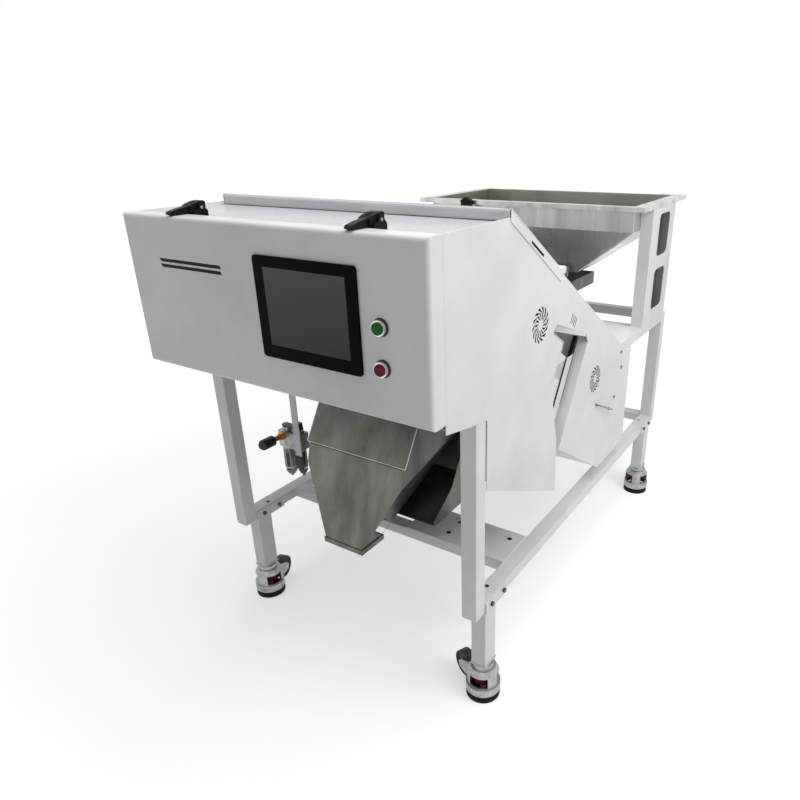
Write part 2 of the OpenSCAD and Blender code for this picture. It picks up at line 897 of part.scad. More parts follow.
module inlet_nipple() {
  color("goldenrod") translate([air_x, air_y - air_body_d / 2, inlet_z]) rotate([90, 0, 0]) {
    cylinder(h = nipple_l, r = nipple_r);
    cylinder(h = hex_l, r = hex_r, $fn = 6);
  }
}

module inlet_cap() {
  color(black) translate([air_x, air_y - air_body_d / 2 - nipple_l, inlet_z]) rotate([90, 0, 0]) {
    cylinder(h = inlet_cap_l - 8, r = inlet_cap_r);
    translate([0, 0, inlet_cap_l - 8]) cylinder(h = 8, r1 = inlet_cap_r, r2 = inlet_cap_r - 6);
  }
}

rim_flat = 30;
outlet_in = 20;
outlet_l = 120;
band_y0 = rim_y0 + rim_flat;
band_y1 = rim_y1 - rim_flat;
outlet_y0 = band_y0 + outlet_in;
outlet_y1 = outlet_y0 + outlet_l;
lip_in = 2;

// Tapered part of the hopper; t takes the wall off all round.
module hopper_taper(t) {
  w = band_w / 2 + steel_t - t;
  m = outlet_w / 2 + steel_t - t;
  over = t > 0 ? 1 : 0;
  y0 = band_y0 - steel_t + t;
  y1 = band_y1 + steel_t - t;
  o0 = outlet_y0 - steel_t + t;
  o1 = outlet_y1 + steel_t - t;
  polyhedron(
    points = [
      [-m, o0, outlet_z - over], [m, o0, outlet_z - over],
      [m, o1, outlet_z - over], [-m, o1, outlet_z - over],
      [-w, y0, band_z + over], [w, y0, band_z + over], [w, y1, band_z + over], [-w, y1, band_z + over]],
    faces = [[0, 1, 2, 3], [7, 6, 5, 4], [4, 5, 1, 0], [5, 6, 2, 1], [6, 7, 3, 2], [7, 4, 0, 3]]);
}

module hopper() {
  w = band_w / 2;
  color(stainless) {
    difference() {
      block([-rim_w / 2, rim_y0, rim_z - rim_h], [rim_w / 2, rim_y1, rim_z]);
      block([lip_in - rim_w / 2, rim_y0 + lip_in, rim_z - rim_h - 1],
        [rim_w / 2 - lip_in, rim_y1 - lip_in, rim_z - steel_t]);
      block([-w, band_y0, rim_z - rim_h - 1], [w, band_y1, rim_z + 1]);
    }
    difference() {
      block([-w - steel_t, band_y0 - steel_t, band_z], [w + steel_t, band_y1 + steel_t, rim_z - steel_t]);
      block([-w, band_y0, band_z - 1], [w, band_y1, rim_z]);
    }
    difference() {
      hopper_taper(0);
      hopper_taper(steel_t);
    }
  }
}

post_y1 = 1502;
post_t = 3;
post_flange = band_in - steel_t - seat_gap;
window_y = 1388;
window_d = 118;
window_tall = 136;
window_ups = [114, 294];
window_r = 20;
post_top = rim_z - rim_h;

module hopper_post() {
  difference() {
    block([frame_x - post_flange, post_y0, upper_top], [frame_x, post_y1, post_top]);
    block([frame_x - post_flange - 1, post_y0 + post_t, upper_top + post_t],
      [frame_x - post_t, post_y1 - post_t, post_top - post_t]);
    for (up = window_ups)
      along_x(frame_x - post_t - 1, frame_x + 1) translate([window_y, upper_top + up])
        polygon(round_rect(window_d, window_tall, window_r));
  }
}

module hopper_posts() {
  color(paint) both_sides() hopper_post();
}

feed_y0 = 1070;
feed_y1 = 1230;
feed_w = 150;
feed_h = 50;
feed_z = upper_top + deck_t;
magnet_h = 24;
magnet_w = 70;
magnet_l = 50;
spring_t = 4;
spring_w = 110;
spring_lean = 10;
tray_foot = 12;

module feeder_base() {
  color(dark) {
    block([-feed_w / 2, feed_y0, feed_z], [feed_w / 2, feed_y1, feed_z + feed_h]);
    translate([-magnet_w / 2, (feed_y0 + feed_y1 - magnet_l) / 2, feed_z + feed_h])
      cube([magnet_w, magnet_l, magnet_h]);
  }
}

// Leaf springs lean to the rear between the base ends and the tray's feet.
module feeder_springs() {
  top = tray_z - steel_t - fit_gap;
  foot = tray_z - steel_t - tray_foot;
  color("silver") for (y = [feed_y0 - spring_t, feed_y1])
    along_x(-spring_w / 2, spring_w / 2) polygon(ribbon([
      [y + spring_t, feed_z + 6], [y + spring_t, feed_z + feed_h], [y + spring_t + spring_lean, foot],
      [y + spring_t + spring_lean, top]], spring_t));
}

tray_neck = 150;
neck_y0 = 860;
neck_y1 = 950;

module tray_plan(t) {
  w = tray_w / 2 - t;
  n = tray_neck - t;
  polygon([
    [-n, tray_y0 - (t > 0 ? 1 : 0)], [n, tray_y0 - (t > 0 ? 1 : 0)], [n, neck_y0], [w, neck_y1],
    [w, tray_y1 - t], [-w, tray_y1 - t], [-w, neck_y1], [-n, neck_y0]]);
}

module feeder_tray() {
  color(stainless) {
    difference() {
      translate([0, 0, tray_z - steel_t]) linear_extrude(tray_h + steel_t) tray_plan(0);
      translate([0, 0, tray_z]) linear_extrude(tray_h + 1) tray_plan(steel_t);
    }
    for (y = [feed_y0, feed_y1 + spring_t])
      translate([0, y + spring_lean + fit_gap, tray_z - steel_t])
        block([-spring_w / 2, 0, -tray_foot], [spring_w / 2, tray_foot, 0]);
  }
}

gate_t = 3;
gate_off = 6;
gate_low = 10;
gate_high = 22;
gate_in = 20;
strap_out = 19;
stud_gap = 0.5;
gate_y = band_y0 - steel_t - gate_off;
gate_z0 = outlet_z - gate_low;
gate_z1 = outlet_z + gate_high;
strap_x = -outlet_w / 2 - strap_out;
strap_w = 26;
strap_y = rim_y0 - seat_gap;
strap_top = rim_z;
joggle_drop = 58;
joggle_z = rim_z - rim_h - joggle_drop;
strap_slot = 46;
knob_drop = 9;
knob_z = rim_z - knob_drop;
knob_r = 20;
knob_l = 22;
knob_lobes = 6;
stud_r = 4;

// Gate at the outlet on a strap that steps forward to the rim.
module hopper_gate() {
  x0 = strap_x - strap_w / 2;
  x1 = strap_x + strap_w / 2;
  color(stainless) difference() {
    union() {
      block([gate_in - outlet_w / 2, gate_y - gate_t, gate_z0], [outlet_w / 2 - gate_in, gate_y, gate_z1]);
      block([x0, gate_y - gate_t, gate_z0], [x1, gate_y, joggle_z]);
      block([x0, strap_y - gate_t, joggle_z], [x1, gate_y, joggle_z + gate_t]);
      block([x0, strap_y - gate_t, joggle_z], [x1, strap_y, strap_top]);
      block([x0, gate_y - gate_t, gate_z0], [outlet_w / 2 - gate_in, gate_y, outlet_z]);
    }
    block([strap_x - stud_r - stud_gap, strap_y - gate_t - 1, knob_z - strap_slot],
      [strap_x + stud_r + stud_gap, strap_y + 1, knob_z + stud_r + 1]);
  }
}

module gate_knob() {
  color(black) translate([strap_x, strap_y - gate_t - seat_gap, knob_z]) rotate([90, 0, 0]) {
    difference() {
      cylinder(h = knob_l, r = knob_r);
      for (k = [0:knob_lobes - 1])
        rotate(k * 360 / knob_lobes) translate([knob_r + 3, 0, -1]) cylinder(h = knob_l + 2, r = 7);
    }
    translate([0, 0, -gate_t - seat_gap]) cylinder(h = gate_t + seat_gap, r = stud_r);
  }
}

// Door pan: rounded front edges, open at the back.
module door_form(t) {
  w = body_w / 2 - t;
  r = door_r - t;
  z0 = door_z + t;
  z1 = top_z - t;
  back = t > 0 ? 1 : 0;
  intersection() {
    along_x(-w, w) polygon(concat(
      arc([t + r, z1 - r], r, 180, 90, 5), [[door_t + back, z1], [door_t + back, z0]],
      arc([t + r, z0 + r], r, 270, 180, 5)));
    translate([0, 0, z0]) linear_extrude(z1 - z0) polygon(concat(
      arc([r - w, t + r], r, 180, 270, 5), arc([w - r, t + r], r, 270, 360, 5),
      [[w, door_t + back], [-w, door_t + back]]));
  }
}

body_in = 12;
screen_depth = 30;
shank_d = 22;

module front_door() {
  color(paint) difference() {
    union() {
      difference() {
        door_form(0);
        door_form(sheet_t);
      }
      both_sides() for (x = [hinge_x - hinge_leaf / 2 - hinge_ear, hinge_x + hinge_leaf / 2 + 0.5])
        along_x(x, x + hinge_ear - 0.5) {
          translate([hinge_y, hinge_z]) circle(hinge_ear_r);
          translate([door_t - 14, hinge_z]) square([12, 10]);
        }
    }
    both_sides() along_x(hinge_x - hinge_leaf / 2 - hinge_ear - 1, hinge_x + hinge_leaf / 2 + hinge_ear + 1)
      translate([hinge_y, hinge_z]) circle(hinge_pin_r + run_gap);
    translate([screen_x, 0, screen_z])
      block([body_in - screen_w / 2, -1, body_in - screen_h / 2],
        [screen_w / 2 - body_in, sheet_t + 1, screen_h / 2 - body_in]);
    for (z = [start_z, stop_z])
      translate([button_x, -1, z]) rotate([-90, 0, 0]) cylinder(h = sheet_t + 2, d = shank_d + fit_gap);
  }
}

bezel_t = 5;
glass_step = 2;
glass_thick = 1.5;
bezel_r = 8;
glass_up = 3;

module screen_frame() {
  inset = body_in + fit_gap;
  color(black) translate([screen_x, 0, screen_z]) difference() {
    union() {
      along_y(-bezel_t, 0) polygon(round_rect(screen_w, screen_h, bezel_r));
      block([inset - screen_w / 2, 0, inset - screen_h / 2],
        [screen_w / 2 - inset, screen_depth, screen_h / 2 - inset]);
    }
    block([-glass_w / 2, -bezel_t - 1, glass_up - glass_h / 2],
      [glass_w / 2, glass_step - bezel_t, glass_up + glass_h / 2]);
  }
}

module screen_glass() {
  color("darkslategray") translate([screen_x, glass_step - bezel_t, screen_z + glass_up])
    block([fit_gap - glass_w / 2, -glass_thick, fit_gap - glass_h / 2],
      [glass_w / 2 - fit_gap, 0, glass_h / 2 - fit_gap]);
}

ring_out = 11;
well = 8;
switch_w = 30;
switch_d = 28;

// Fixed ring, shank through the panel and contact block behind it.
module button_ring(z) {
  translate([button_x, 0, z]) rotate([90, 0, 0]) difference() {
    union() {
      cylinder(h = ring_out, d = ring_d);
      translate([0, 0, -sheet_t]) cylinder(h = sheet_t, d = shank_d);
      translate([-switch_w / 2, -switch_w / 2, -sheet_t - switch_d]) cube([switch_w, switch_w, switch_d]);
    }
    translate([0, 0, ring_out - well]) cylinder(h = well + 1, d = cap_d + 2 * run_gap);
  }
}

module button_rings() {
  color("silver") {
    button_ring(start_z);
    button_ring(stop_z);
  }
}

module button_cap(z) {
  translate([button_x, button_front, z]) rotate([-90, 0, 0])
    cylinder(h = -button_front - ring_out + well - stroke - fit_gap, d = cap_d);
}

module start_button() {
  color("darkgreen") button_cap(start_z);
}

module stop_button() {
  color("darkred") button_cap(stop_z);
}

hem_r = 9;
lid_lift = 1 + seat_gap;
lid_lip = 11;
slot_from = 116;
slot_to = 190;
slot_in = 10;
slot_h = 6;
lid_across = [cos(slope_deg), -sin(slope_deg)];
lid_start = [lid_front, slope_z(lid_front) + lid_lift / cos(slope_deg)];

function lid_point(run, depth) = lid_start + run * lid_across - depth * along;

// Slot in the lid's flange and in the plate behind it.
module lid_slot() {
  polygon([
    lid_point(slot_from, slot_in), lid_point(slot_to, slot_in),
    lid_point(slot_to, slot_in + slot_h), lid_point(slot_from, slot_in + slot_h)]);
}

module rear_lid() {
  start = lid_start;
  finish = lid_point(lid_len, 0);
  ear_x = [hinge_x - hinge_leaf / 2 - hinge_ear, hinge_x + hinge_leaf / 2 + 0.5];
  color(paint) difference() {
    union() {
      along_x(-body_w / 2, body_w / 2) polygon(ribbon([start - [0, lid_lip], start, finish], sheet_t));
      both_sides() along_x(plate_x + seat_gap, body_w / 2)
        polygon([start - [sheet_t, 0], finish, finish - lid_flange * along, start - [sheet_t, lid_flange]]);
      along_x(-body_w / 2, body_w / 2) translate(finish + (hem_r - 1) * along) circle(hem_r);
      along_x(fit_gap - frame_x, frame_x - fit_gap)
        translate([lid_front - sheet_t, panel_z + 1]) square([sheet_t, start.y - panel_z - 1]);
      both_sides() for (x = ear_x)
        along_x(x, x + hinge_ear - 0.5) translate([lid_hinge_y, lid_hinge_z]) {
          circle(lid_ear_r);
          translate([1 - lid_ear_r, 0]) square([2 * lid_ear_r, 6]);
        }
    }
    both_sides() {
      along_x(ear_x[0] - 1, ear_x[1] + hinge_ear)
        translate([lid_hinge_y, lid_hinge_z]) circle(lid_pin_r + run_gap);
      along_x(plate_x, body_w / 2 + 1) lid_slot();
      block([frame_x - fit_gap, lid_front - sheet_t - 1, panel_z],
        [plate_x + seat_gap, lid_front + lid_axis_in / 2, start.y + 2 * sheet_t]);
    }
  }
}

pad_low = 8;
pad_h = 15;
pad_in = 5;
skirt_z0 = 20;
skirt_z1 = 42;
collar_z0 = 78;
collar_z1 = 92;
collar_r = 33;
neck_r = 27;
cage_r = 41;
adjust_z = 48;
adjust_h = 18;
grip_n = 10;
grip_r = 5;
skirt_wall = 5;
cheek_t = 4.5;
cheek_in = wheel_w / 2 + 1.5;
axle_r = 4;
axle_z = wheel_r + wheel_lift;
screw_r = 8;
screw_top = 84;
bore_top = 91;
windows = [125, 240];
window_cut = 48;
window_edge = 2;
wheel_room = 1.5;

// Cast body of a levelling caster; the wheel stands out along local +X.
module caster_body_form() {
  difference() {
    union() {
      difference() {
        union() {
          translate([0, 0, skirt_z0]) cylinder(h = skirt_z1 - skirt_z0, r = skirt_r);
          translate([0, 0, skirt_z1]) cylinder(h = collar_z0 - skirt_z1, r = cage_r);
          translate([0, 0, collar_z0]) cylinder(h = collar_z1 - collar_z0, r1 = cage_r, r2 = collar_r);
          translate([0, 0, collar_z1]) cylinder(h = caster_top - collar_z1, r = neck_r);
        }
        translate([0, 0, skirt_z0 - 1])
          cylinder(h = collar_z0 - skirt_z0 + 1, r = cage_r - skirt_wall);
        for (a = windows)
          rotate(a) translate([0, -window_cut / 2, skirt_z1 + window_edge])
            cube([skirt_r + 5, window_cut, collar_z0 - skirt_z1 - 2 * window_edge]);
        translate([wheel_trail - wheel_r - 2, -cheek_in, skirt_z0 - 1])
          cube([skirt_r, 2 * cheek_in, axle_z + wheel_r + wheel_room + 1 - skirt_z0]);
      }
      for (side = [-1, 1])
        translate([0, side * (cheek_in + cheek_t / 2) + cheek_t / 2, 0]) rotate([90, 0, 0]) linear_extrude(cheek_t)
          polygon([
            [cage_r - 12, skirt_z0 + 1], [wheel_trail - 6, axle_z - 13], [wheel_trail + 10, axle_z - 10],
            [wheel_trail + 13, axle_z + 6], [wheel_trail - 2, axle_z + 20], [cage_r - 12, collar_z0 - 2]]);
      translate([wheel_trail, cheek_in + cheek_t, axle_z]) rotate([90, 0, 0])
        cylinder(h = 2 * (cheek_in + cheek_t), r = axle_r);
    }
    translate([0, 0, collar_z0 - 1]) cylinder(h = bore_top - collar_z0 + 1, r = screw_r + run_gap);
    translate([0, 0, stem_low - 1]) cylinder(h = caster_top - stem_low + 2, d = stem_d + 2 * run_gap);
  }
}

module caster_wheel_form() {
  translate([wheel_trail, wheel_w / 2, axle_z]) rotate([90, 0, 0]) difference() {
    cylinder(h = wheel_w, r = wheel_r);
    for (z = [-1, wheel_w - 4])
      translate([0, 0, z]) difference() {
        cylinder(h = 5, r = wheel_r - 6);
        cylinder(h = 5, r = axle_r + 6);
      }
    translate([0, 0, -1]) cylinder(h = wheel_w + 2, r = axle_r + run_gap);
  }
}

module caster_foot_form() {
  difference() {
    union() {
      cylinder(h = pad_low, r = pad_r);
      translate([0, 0, pad_low]) cylinder(h = pad_h - pad_low, r1 = pad_r, r2 = pad_r - pad_in);
      translate([0, 0, pad_h]) cylinder(h = screw_top - pad_h, r = screw_r);
      translate([0, 0, adjust_z]) cylinder(h = adjust_h, r = adjust_r);
    }
    for (k = [0:grip_n - 1])
      rotate((k + 0.5) * 360 / grip_n) translate([adjust_r + 2, 0, adjust_z - 1])
        cylinder(h = adjust_h + 2, r = grip_r);
  }
}

module at_caster(side, y, turn) {
  translate([side * leg_x, y, 0]) rotate(turn) children();
}

caster_turn = 156;
caster_turn_away = 105;

module caster_body_fr() {
  color("silver") at_caster(1, front_leg_y, caster_turn) caster_body_form();
}

module caster_body_fl() {
  color("silver") at_caster(-1, front_leg_y, caster_turn_away) caster_body_form();
}

module caster_body_rr() {
  color("silver") at_caster(1, rear_leg_y, caster_turn_away) caster_body_form();
}

module caster_body_rl() {
  color("silver") at_caster(-1, rear_leg_y, caster_turn_away) caster_body_form();
}

module caster_wheel_fr() {
  color(dark) at_caster(1, front_leg_y, caster_turn) caster_wheel_form();
}

module caster_wheel_fl() {
  color(dark) at_caster(-1, front_leg_y, caster_turn_away) caster_wheel_form();
}

module caster_wheel_rr() {
  color(dark) at_caster(1, rear_leg_y, caster_turn_away) caster_wheel_form();
}

module caster_wheel_rl() {
  color(dark) at_caster(-1, rear_leg_y, caster_turn_away) caster_wheel_form();
}

module caster_foot_fr() {
  color("firebrick") at_caster(1, front_leg_y, caster_turn) caster_foot_form();
}

module caster_foot_fl() {
  color("firebrick") at_caster(-1, front_leg_y, caster_turn_away) caster_foot_form();
}

module caster_foot_rr() {
  color("firebrick") at_caster(1, rear_leg_y, caster_turn_away) caster_foot_form();
}

module caster_foot_rl() {
  color("firebrick") at_caster(-1, rear_leg_y, caster_turn_away) caster_foot_form();
}

place() base_rails();
place() cross_beams();
place() front_uprights();
place() rear_frame();
place() legs();
place() leg_fasteners();
place() deck_plates();
place() side_plate_left();
place() side_plate_right();
place() top_panels();
place() belly_panel();
place() hinge_pins();
place() latch_bases();
place() front_camera_box();
place() rear_camera_box();
place() cameras();
place() light_bars();
place() inspection_glasses();
place() chute();
place() edge_seals();
place() ejector_manifold();
place() ejector_valves();
place() control_computer();
place() power_supply();
place() accept_hopper();
place() accept_cover();
place() reject_hopper();
place() air_bracket();
place() air_filter_body();
place() air_filter_bowls();
place() inlet_nipple();
place() inlet_cap();
place() hopper();
place() hopper_posts();
place() feeder_base();
place() feeder_springs();
place() front_door();
place() screen_frame();
place() screen_glass();
place() button_rings();
place() start_button();
place() stop_button();
place() latch_lever_left();
place() latch_lever_right();
place() rear_lid();
place() feeder_tray();
place() hopper_gate();
place() gate_knob();
place() caster_body_fr();
place() caster_body_fl();
place() caster_body_rr();
place() caster_body_rl();
place() caster_wheel_fr();
place() caster_wheel_fl();
place() caster_wheel_rr();
place() caster_wheel_rl();
place() caster_foot_fr();
place() caster_foot_fl();
place() caster_foot_rr();
place() caster_foot_rl();
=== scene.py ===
import math

import bmesh
import bpy
from bpy.props import FloatProperty, FloatVectorProperty, PointerProperty
from mathutils import Matrix, Vector


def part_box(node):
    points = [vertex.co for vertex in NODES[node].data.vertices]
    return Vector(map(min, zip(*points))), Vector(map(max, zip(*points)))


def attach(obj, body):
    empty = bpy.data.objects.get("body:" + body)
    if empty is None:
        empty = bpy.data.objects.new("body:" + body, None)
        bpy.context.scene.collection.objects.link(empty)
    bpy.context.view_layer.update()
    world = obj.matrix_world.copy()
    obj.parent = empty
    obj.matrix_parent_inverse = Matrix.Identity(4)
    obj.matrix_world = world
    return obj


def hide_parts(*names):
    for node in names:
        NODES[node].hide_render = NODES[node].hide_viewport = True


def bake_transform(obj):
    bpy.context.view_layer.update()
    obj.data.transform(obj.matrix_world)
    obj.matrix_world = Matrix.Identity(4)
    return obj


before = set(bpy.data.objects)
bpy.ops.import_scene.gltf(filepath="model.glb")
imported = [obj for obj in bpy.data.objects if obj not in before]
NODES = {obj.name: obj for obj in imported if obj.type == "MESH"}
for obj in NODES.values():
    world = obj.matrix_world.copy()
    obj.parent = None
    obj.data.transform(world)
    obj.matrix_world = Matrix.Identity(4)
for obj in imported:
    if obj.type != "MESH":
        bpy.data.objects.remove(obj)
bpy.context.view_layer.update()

bl_info = {
    "name": "Optical colour sorter",
    "version": (1, 0, 0),
    "blender": (4, 5, 0),
    "location": "View3D > Sidebar > Sorter",
    "description": "Finishes, small fittings, light and camera for an optical colour sorter",
    "category": "Object",
}

DOOR_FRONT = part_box("front_door")[0][1]
SIDES = (-1, 1)
# Lower rear edge of the front camera box and lower edge of the outlet's cover: y and z in millimetres.
BOX_FOOT = Vector((470, 660))
COVER_FOOT = Vector((241, 580))
# Thickness of the sheet trim, in metres.
SHEET = 0.002
# The photograph's width, focal length and principal point in pixels, and its camera's place in millimetres.
IMAGE_PX = 800
FOCAL_PX = 651.71
CENTRE_PX = (448.81, 417.66)
CAMERA_AT = (1025.99, -879.96, 1343.99)


def linear(hex_colour):
    """An sRGB hex colour as linear red, green, blue and alpha."""
    parts = [int(hex_colour[i:i + 2], 16) / 255 for i in (1, 3, 5)]
    return [p / 12.92 if p <= 0.04045 else ((p + 0.055) / 1.055) ** 2.4 for p in parts] + [1.0]


def at(x, y, z):
    """A point in millimetres: x from the middle, y behind the door's front, z above the floor."""
    return Vector((x / 1000, DOOR_FRONT + y / 1000, z / 1000))


def box_mm(name):
    """A node's low and high corners, in millimetres as at() counts them."""
    return [Vector((p[0], p[1] - DOOR_FRONT, p[2])) * 1000 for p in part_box(name)]


def on_slope(foot, run, rise):
    """A point (y, z) reached from a foot by a run down the slope and a rise square to it, in millimetres."""
    slope = bpy.context.scene.sorter_sizes.slope
    down = Vector((math.cos(slope), -math.sin(slope)))
    up = Vector((math.sin(slope), math.cos(slope)))
    return foot + run * down + rise * up


def add(tree, kind, values=None, links=None, **settings):
    """Adds one node with its settings, input values and links."""
    node = tree.nodes.new(kind)
    for key, value in settings.items():
        setattr(node, key, value)
    for key, value in (values or {}).items():
        node.inputs[key].default_value = value
    for key, socket in (links or {}).items():
        tree.links.new(socket, node.inputs[key])
    return node


def new_finish(name):
    """An empty material with its node tree and the place on the piece."""
    material = bpy.data.materials.new(name)
    material.use_nodes = True
    tree = material.node_tree
    tree.nodes.clear()
    place = add(tree, "ShaderNodeTexCoord").outputs["Object"]
    return material, tree, place


def eye_rays(tree):
    """One where a surface is seen directly, in a reflection or through glass, and nought for other light."""
    ray = add(tree, "ShaderNodeLightPath").outputs
    seen = ray["Is Camera Ray"]
    for kind in ("Is Glossy Ray", "Is Transmission Ray"):
        seen = add(tree, "ShaderNodeMath", links={0: seen, 1: ray[kind]}, operation="MAXIMUM").outputs[0]
    return seen


def worn(name, base, shade, patch_mm, gloss, grain_mm, relief_mm, stretch=(1, 1, 1), smear=(1, 1, 1),
         inner_shade=None, **shader):
    """A finish with uneven colour in patches, uneven gloss and a fine relief.

    inner_shade gives the middle of a bin and a darker colour for the faces that look at it: painted shade in
    the bin.
    """
    material, tree, place = new_finish(name)
    spread = add(tree, "ShaderNodeMapping", {"Scale": smear}, {"Vector": place})
    patches = add(tree, "ShaderNodeTexNoise", {"Scale": 1000 / patch_mm, "Detail": 5.0, "Roughness": 0.6},
                  {"Vector": spread.outputs[0]})
    share = add(tree, "ShaderNodeMapRange", {"From Min": 0.35, "From Max": 0.7},
                {"Value": patches.outputs[0]})
    colour = add(tree, "ShaderNodeMix", {6: base, 7: shade}, {0: share.outputs[0]}, data_type="RGBA")
    # Faces that look at the middle of the bin take the darker colour: painted shade.
    if inner_shade:
        middle, inner = inner_shade
        normal = add(tree, "ShaderNodeNewGeometry").outputs["True Normal"]
        away = add(tree, "ShaderNodeVectorMath", {1: middle}, {0: place}, operation="SUBTRACT")
        outward = add(tree, "ShaderNodeVectorMath", links={0: away.outputs[0], 1: normal},
                      operation="DOT_PRODUCT")
        inward = add(tree, "ShaderNodeMath", {1: 0.0}, {0: outward.outputs["Value"]}, operation="LESS_THAN")
        colour = add(tree, "ShaderNodeMix", {7: inner}, {0: inward.outputs[0], 6: colour.outputs[2]},
                     data_type="RGBA")
    drawn = add(tree, "ShaderNodeMapping", {"Scale": stretch}, {"Vector": place})
    grain = add(tree, "ShaderNodeTexNoise", {"Scale": 1000 / grain_mm, "Detail": 3.0},
                {"Vector": drawn.outputs[0]})
    both = add(tree, "ShaderNodeMath", {1: 0.5}, {0: grain.outputs[0], 2: patches.outputs[0]},
               operation="MULTIPLY_ADD")
    sheen = add(tree, "ShaderNodeMapRange",
                {"From Min": 0.45, "From Max": 1.05, "To Min": gloss[0], "To Max": gloss[1]},
                {"Value": both.outputs[0]})
    relief = add(tree, "ShaderNodeBump", {"Strength": 1.0, "Distance": relief_mm / 1000},
                 {"Height": grain.outputs[0]})
    values = {key.replace("_", " "): value for key, value in shader.items()}
    links = {"Base Color": colour.outputs[2], "Roughness": sheen.outputs[0], "Normal": relief.outputs[0]}
    surface = add(tree, "ShaderNodeBsdfPrincipled", values, links)
    add(tree, "ShaderNodeOutputMaterial", links={"Surface": surface.outputs[0]})
    return material


def dress(names, finish, edge_mm=0.0):
    """Gives CAD nodes a finish and, where asked, softly rounded edges."""
    for name in names:
        node = NODES[name]
        node.data.materials.clear()
        node.data.materials.append(finish)
        if edge_mm:
            weld = node.modifiers.new("joined_faces", "WELD")
            weld.merge_threshold = 1e-5
            edge = node.modifiers.new("soft_edges", "BEVEL")
            edge.width = edge_mm / 1000
            edge.segments = 2
            edge.limit_method = "ANGLE"
            edge.angle_limit = math.radians(35)
            edge.harden_normals = True


def piece(name, mesh, finish, body):
    """Makes a new piece from a bmesh and hangs it on its body; a piece that bends between bodies has none."""
    bmesh.ops.recalc_face_normals(mesh, faces=mesh.faces)
    data = bpy.data.meshes.new(name)
    mesh.to_mesh(data)
    mesh.free()
    data.materials.append(finish)
    data.shade_smooth()
    data.set_sharp_from_angle(angle=math.radians(35))
    made = bpy.data.objects.new(name, data)
    bpy.context.scene.collection.objects.link(made)
    if body:
        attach(made, body)
    return made


def lathe(mesh, profile, centre, axis, steps=32):
    """Turns (radius, height) points in millimetres round an axis through the centre."""
    turn = Vector(axis).to_track_quat("Z", "Y").to_matrix()
    rings = []
    for radius, height in profile:
        count = 1 if radius == 0 else steps
        angles = [2 * math.pi * k / steps for k in range(count)]
        ring = [Vector((radius * math.cos(a), radius * math.sin(a), height)) / 1000 for a in angles]
        rings.append([mesh.verts.new(centre + turn @ point) for point in ring])
    for low, high in zip(rings, rings[1:]):
        for k in range(steps):
            corners = []
            n = k + 1
            for vert in (low[k % len(low)], low[n % len(low)], high[n % len(high)], high[k % len(high)]):
                if vert not in corners:
                    corners.append(vert)
            if len(corners) > 2:
                mesh.faces.new(corners)


def plate(mesh, outline, depth):
    """A flat plate: its outline as points, pushed out by a vector."""
    low = [mesh.verts.new(p) for p in outline]
    high = [mesh.verts.new(p + depth) for p in outline]
    mesh.faces.new(low)
    mesh.faces.new(high[::-1])
    for k in range(len(low)):
        n = (k + 1) % len(low)
        mesh.faces.new((low[k], high[k], high[n], low[n]))


def rounded(path, radius, steps=6):
    """A path with its inner corners drawn as arcs."""
    out = [path[0]]
    for before, corner, after in zip(path, path[1:], path[2:]):
        a = corner + (before - corner).normalized() * radius
        b = corner + (after - corner).normalized() * radius
        for k in range(steps + 1):
            t = k / steps
            out.append(a * (1 - t) ** 2 + corner * 2 * t * (1 - t) + b * t ** 2)
    return out + [path[-1]]


def wire(mesh, path, radius_of, steps=12):
    """A round wire or bead along a path; radius_of gives its radius in metres at each point."""
    rings = []
    side = None
    for k, point in enumerate(path):
        along = (path[min(k + 1, len(path) - 1)] - path[max(k - 1, 0)]).normalized()
        side = along.orthogonal() if side is None else side - along * side.dot(along)
        side.normalize()
        up = along.cross(side)
        angles = [2 * math.pi * i / steps for i in range(steps)]
        ring = [side * math.cos(a) + up * math.sin(a) for a in angles]
        rings.append([mesh.verts.new(point + radius_of(k) * spoke) for spoke in ring])
    for low, high in zip(rings, rings[1:]):
        for i in range(steps):
            n = (i + 1) % steps
            mesh.faces.new((low[i], low[n], high[n], high[i]))
    mesh.faces.new(rings[0])
    mesh.faces.new(rings[-1])


class SorterSizes(bpy.types.PropertyGroup):
    """Sizes of the small fittings."""
    edge: FloatProperty(
        name="Sheet edge", description="Rounding of painted edges, in millimetres", default=0.9, min=0.1)
    stripe: FloatProperty(
        name="Stripe height", description="Height of each door stripe", default=0.007, unit="LENGTH")
    slope: FloatProperty(
        name="Slope", description="Slope of the lid and the camera boxes", default=math.radians(32),
        subtype="ANGLE")
    film: FloatProperty(
        name="Film", description="Thickness of the door stripes", default=0.0003, unit="LENGTH")
    bead: FloatProperty(
        name="Weld bead", description="Radius of the weld beads", default=0.0016, unit="LENGTH")
    handle: FloatProperty(
        name="Handle wire", description="Radius of the side handles' wire", default=0.0024, unit="LENGTH")
    hem: FloatProperty(
        name="Lid hem", description="Radius of the rolled hem on the lid", default=0.0052, unit="LENGTH")
    seal: FloatProperty(
        name="Door seal", description="Radius of the door's bulb seal", default=0.0013, unit="LENGTH")


class SorterColours(bpy.types.PropertyGroup):
    """Main colours."""
    paint: FloatVectorProperty(
        name="Paint", description="White powder coat", subtype="COLOR", size=4, default=linear("#EEEEF0"))
    stripe: FloatVectorProperty(
        name="Stripes", description="Door stripes", subtype="COLOR", size=4, default=linear("#060B18"))
    start: FloatVectorProperty(
        name="Start", description="Upper push-button", subtype="COLOR", size=4, default=linear("#14652E"))
    stop: FloatVectorProperty(
        name="Stop", description="Lower push-button", subtype="COLOR", size=4, default=linear("#7E0B20"))
    grip: FloatVectorProperty(
        name="Adjusting wheel", description="Caster adjusting wheel", subtype="COLOR", size=4,
        default=linear("#5E0F12"))


